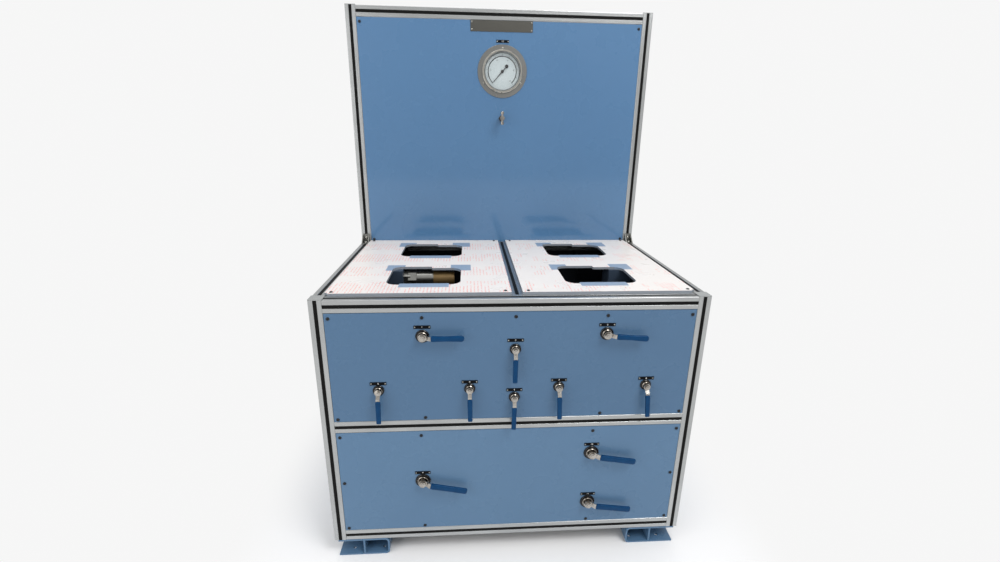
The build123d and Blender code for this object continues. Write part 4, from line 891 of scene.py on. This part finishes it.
# ---------------------------------------------------------------- tags and nameplate
TAG_WIDTH = 50.0 * MM
TAG_THICKNESS = 1.5 * MM
TAG_SCREW_INSET = 3.6 * MM
TAG_NUMBER_SIZE = 8.0 * MM
TAG_LIFTS = (29, 29, 29, 25, 23, 23, 23, 23, 31, 32, 31)    # millimetres from a valve's axis up to its tag
GAUGE_TAG_LIFT = 110.0 * MM
RIVET_INSET_X, RIVET_INSET_Z = 5.0 * MM, 6.5 * MM
tag_places = [(place.x, panel_front_y, place.z + lift * MM) for place, lift in zip(valve_places, TAG_LIFTS)]
tag_places.append((gauge_place.x, backboard_y, gauge_place.z + GAUGE_TAG_LIFT))
tag_screws = []
for number, (x, y, z) in enumerate(tag_places, start=1):
    face = y - TAG_THICKNESS
    number_mark(f"tag_number_{number}", number, facing_front(x, face, z), TAG_NUMBER_SIZE, "white_ink")
    tag_screws += [(FRONT, (x + side * (TAG_WIDTH / 2 - TAG_SCREW_INSET), face, z)) for side in (-1, 1)]
screws("tag_screws", tag_screws, TAG_SCREW, "zinc")
plate_low, plate_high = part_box("nameplate")
rivet_places = [(FRONT, (x, plate_low.y, z))
                for x in (plate_low.x + RIVET_INSET_X, plate_high.x - RIVET_INSET_X)
                for z in (plate_low.z + RIVET_INSET_Z, plate_high.z - RIVET_INSET_Z)]
screws("nameplate_rivets", rivet_places, PLATE_RIVET, "zinc")


# ---------------------------------------------------------------- floor, world, lights and camera
BACKGROUND = 0.925              # tone of the surround and of the far floor to the camera
FLOOR_REACH = 12.0              # middle of the floor to each side
FLOOR_COLOR = (0.87, 0.87, 0.875, 1.0)
SHADOW_REACH = 0.40             # floor shadow fades out over this distance from the bench
DIM_DIRECTION_Z, DIM_STRENGTH = -0.15, 0.42         # surround near the horizon
BRIGHT_DIRECTION_Z, BRIGHT_STRENGTH = 0.9, 0.85     # surround overhead
SENSOR_WIDTH, FOCAL_LENGTH = 36.0, 17.066           # millimetres
CAMERA_PLACE = (-0.1367, -1.7057, 1.4059)
CAMERA_ANGLES = (17.509, 3.960, 0.768)              # degrees down, to the right and rolled anticlockwise
# Name, place, target, size and power of each light.
LIGHTS = (("key_softbox", (1.6, -2.2, 3.9), (0, 0, 0.8), (1.6, 1.6), 80.0),
          ("fill_softbox", (-2.2, -2.0, 1.6), (0, 0, 0.8), (1.8, 2.2), 22.0),
          ("top_softbox", (0.0, 0.2, 4.0), (0, 0, 0), (2.5, 2.5), 30.0))


def stage_floor():
    """Pale floor that keeps the shadow near the bench and fades to the background further out."""
    bm = bmesh.new()
    bmesh.ops.create_grid(bm, x_segments=1, y_segments=1, size=FLOOR_REACH)
    mesh = bpy.data.meshes.new("studio_floor")
    bm.to_mesh(mesh)
    bm.free()
    floor = bpy.data.objects.new("studio_floor", mesh)
    bpy.context.scene.collection.objects.link(floor)
    shader = Shader("studio_floor", FLOOR_COLOR, roughness=0.9)
    axes = shader.split()
    squares = []
    for axis, half in (("X", cad_box[1][0]), ("Y", cad_box[1][1])):
        past = shader.math("SUBTRACT", shader.math("ABSOLUTE", axes[axis]), half)
        squares.append(shader.math("POWER", shader.math("MAXIMUM", past, 0.0), 2.0))
    fade = shader.node("ShaderNodeMapRange", interpolation_type="SMOOTHSTEP")
    fade.inputs["From Min"].default_value = 0.0
    fade.inputs["From Max"].default_value = SHADOW_REACH
    shader.link(shader.math("SQRT", shader.math("ADD", *squares)), fade.inputs["Value"])
    path = shader.node("ShaderNodeLightPath")
    seen = shader.math("MAXIMUM", path.outputs["Is Camera Ray"], path.outputs["Is Glossy Ray"])
    glow = shader.node("ShaderNodeEmission")
    glow.inputs["Color"].default_value = (BACKGROUND, BACKGROUND, BACKGROUND, 1.0)
    mixed = shader.node("ShaderNodeMixShader")
    shader.link(shader.math("MULTIPLY", fade.outputs["Result"], seen), mixed.inputs["Fac"])
    shader.link(shader.surface.outputs["BSDF"], mixed.inputs[1])
    shader.link(glow.outputs["Emission"], mixed.inputs[2])
    shader.link(mixed.outputs["Shader"], shader.tree.nodes["Material Output"].inputs["Surface"])
    mesh.materials.append(shader.material)


def studio_world():
    """White surround: brighter overhead for light and reflections, one plain tone to the camera."""
    world = bpy.data.worlds.new("studio")
    bpy.context.scene.world = world
    world.use_nodes = True
    tree = world.node_tree
    background = tree.nodes["Background"]
    coordinates = tree.nodes.new("ShaderNodeTexCoord")
    split = tree.nodes.new("ShaderNodeSeparateXYZ")
    tree.links.new(coordinates.outputs["Generated"], split.inputs["Vector"])
    ramp = tree.nodes.new("ShaderNodeMapRange")
    ramp.inputs["From Min"].default_value = DIM_DIRECTION_Z
    ramp.inputs["From Max"].default_value = BRIGHT_DIRECTION_Z
    ramp.inputs["To Min"].default_value = DIM_STRENGTH
    ramp.inputs["To Max"].default_value = BRIGHT_STRENGTH
    tree.links.new(split.outputs["Z"], ramp.inputs["Value"])
    path = tree.nodes.new("ShaderNodeLightPath")
    choose = tree.nodes.new("ShaderNodeMix")
    choose.inputs[FLOAT_B].default_value = BACKGROUND
    tree.links.new(path.outputs["Is Camera Ray"], choose.inputs["Factor"])
    tree.links.new(ramp.outputs["Result"], choose.inputs[FLOAT_A])
    tree.links.new(choose.outputs[FLOAT_RESULT], background.inputs["Strength"])
    background.inputs["Color"].default_value = (1.0, 1.0, 1.0, 1.0)


def area_light(name, place, target, size, power):
    """Soft rectangular light that points at a target."""
    data = bpy.data.lights.new(name, "AREA")
    data.shape = "RECTANGLE"
    data.size, data.size_y = size
    data.energy = power
    light = bpy.data.objects.new(name, data)
    light.location = place
    light.rotation_euler = (Vector(target) - Vector(place)).to_track_quat("-Z", "Y").to_euler()
    bpy.context.scene.collection.objects.link(light)


def photo_camera():
    """Wide lens above the deck, turned and rolled slightly."""
    data = bpy.data.cameras.new("camera")
    data.sensor_width = SENSOR_WIDTH
    data.lens = FOCAL_LENGTH
    data.clip_start, data.clip_end = 0.05, 60.0
    camera = bpy.data.objects.new("camera", data)
    pitch, yaw, roll = map(math.radians, CAMERA_ANGLES)
    camera.matrix_world = (Matrix.Translation(CAMERA_PLACE) @ Matrix.Rotation(-yaw, 4, "Z")
                           @ Matrix.Rotation(math.pi / 2 - pitch, 4, "X") @ Matrix.Rotation(roll, 4, "Z"))
    bpy.context.scene.collection.objects.link(camera)
    bpy.context.scene.camera = camera


stage_floor()
studio_world()
for light in LIGHTS:
    area_light(*light)
photo_camera()
bpy.context.scene.view_settings.view_transform = "Standard"
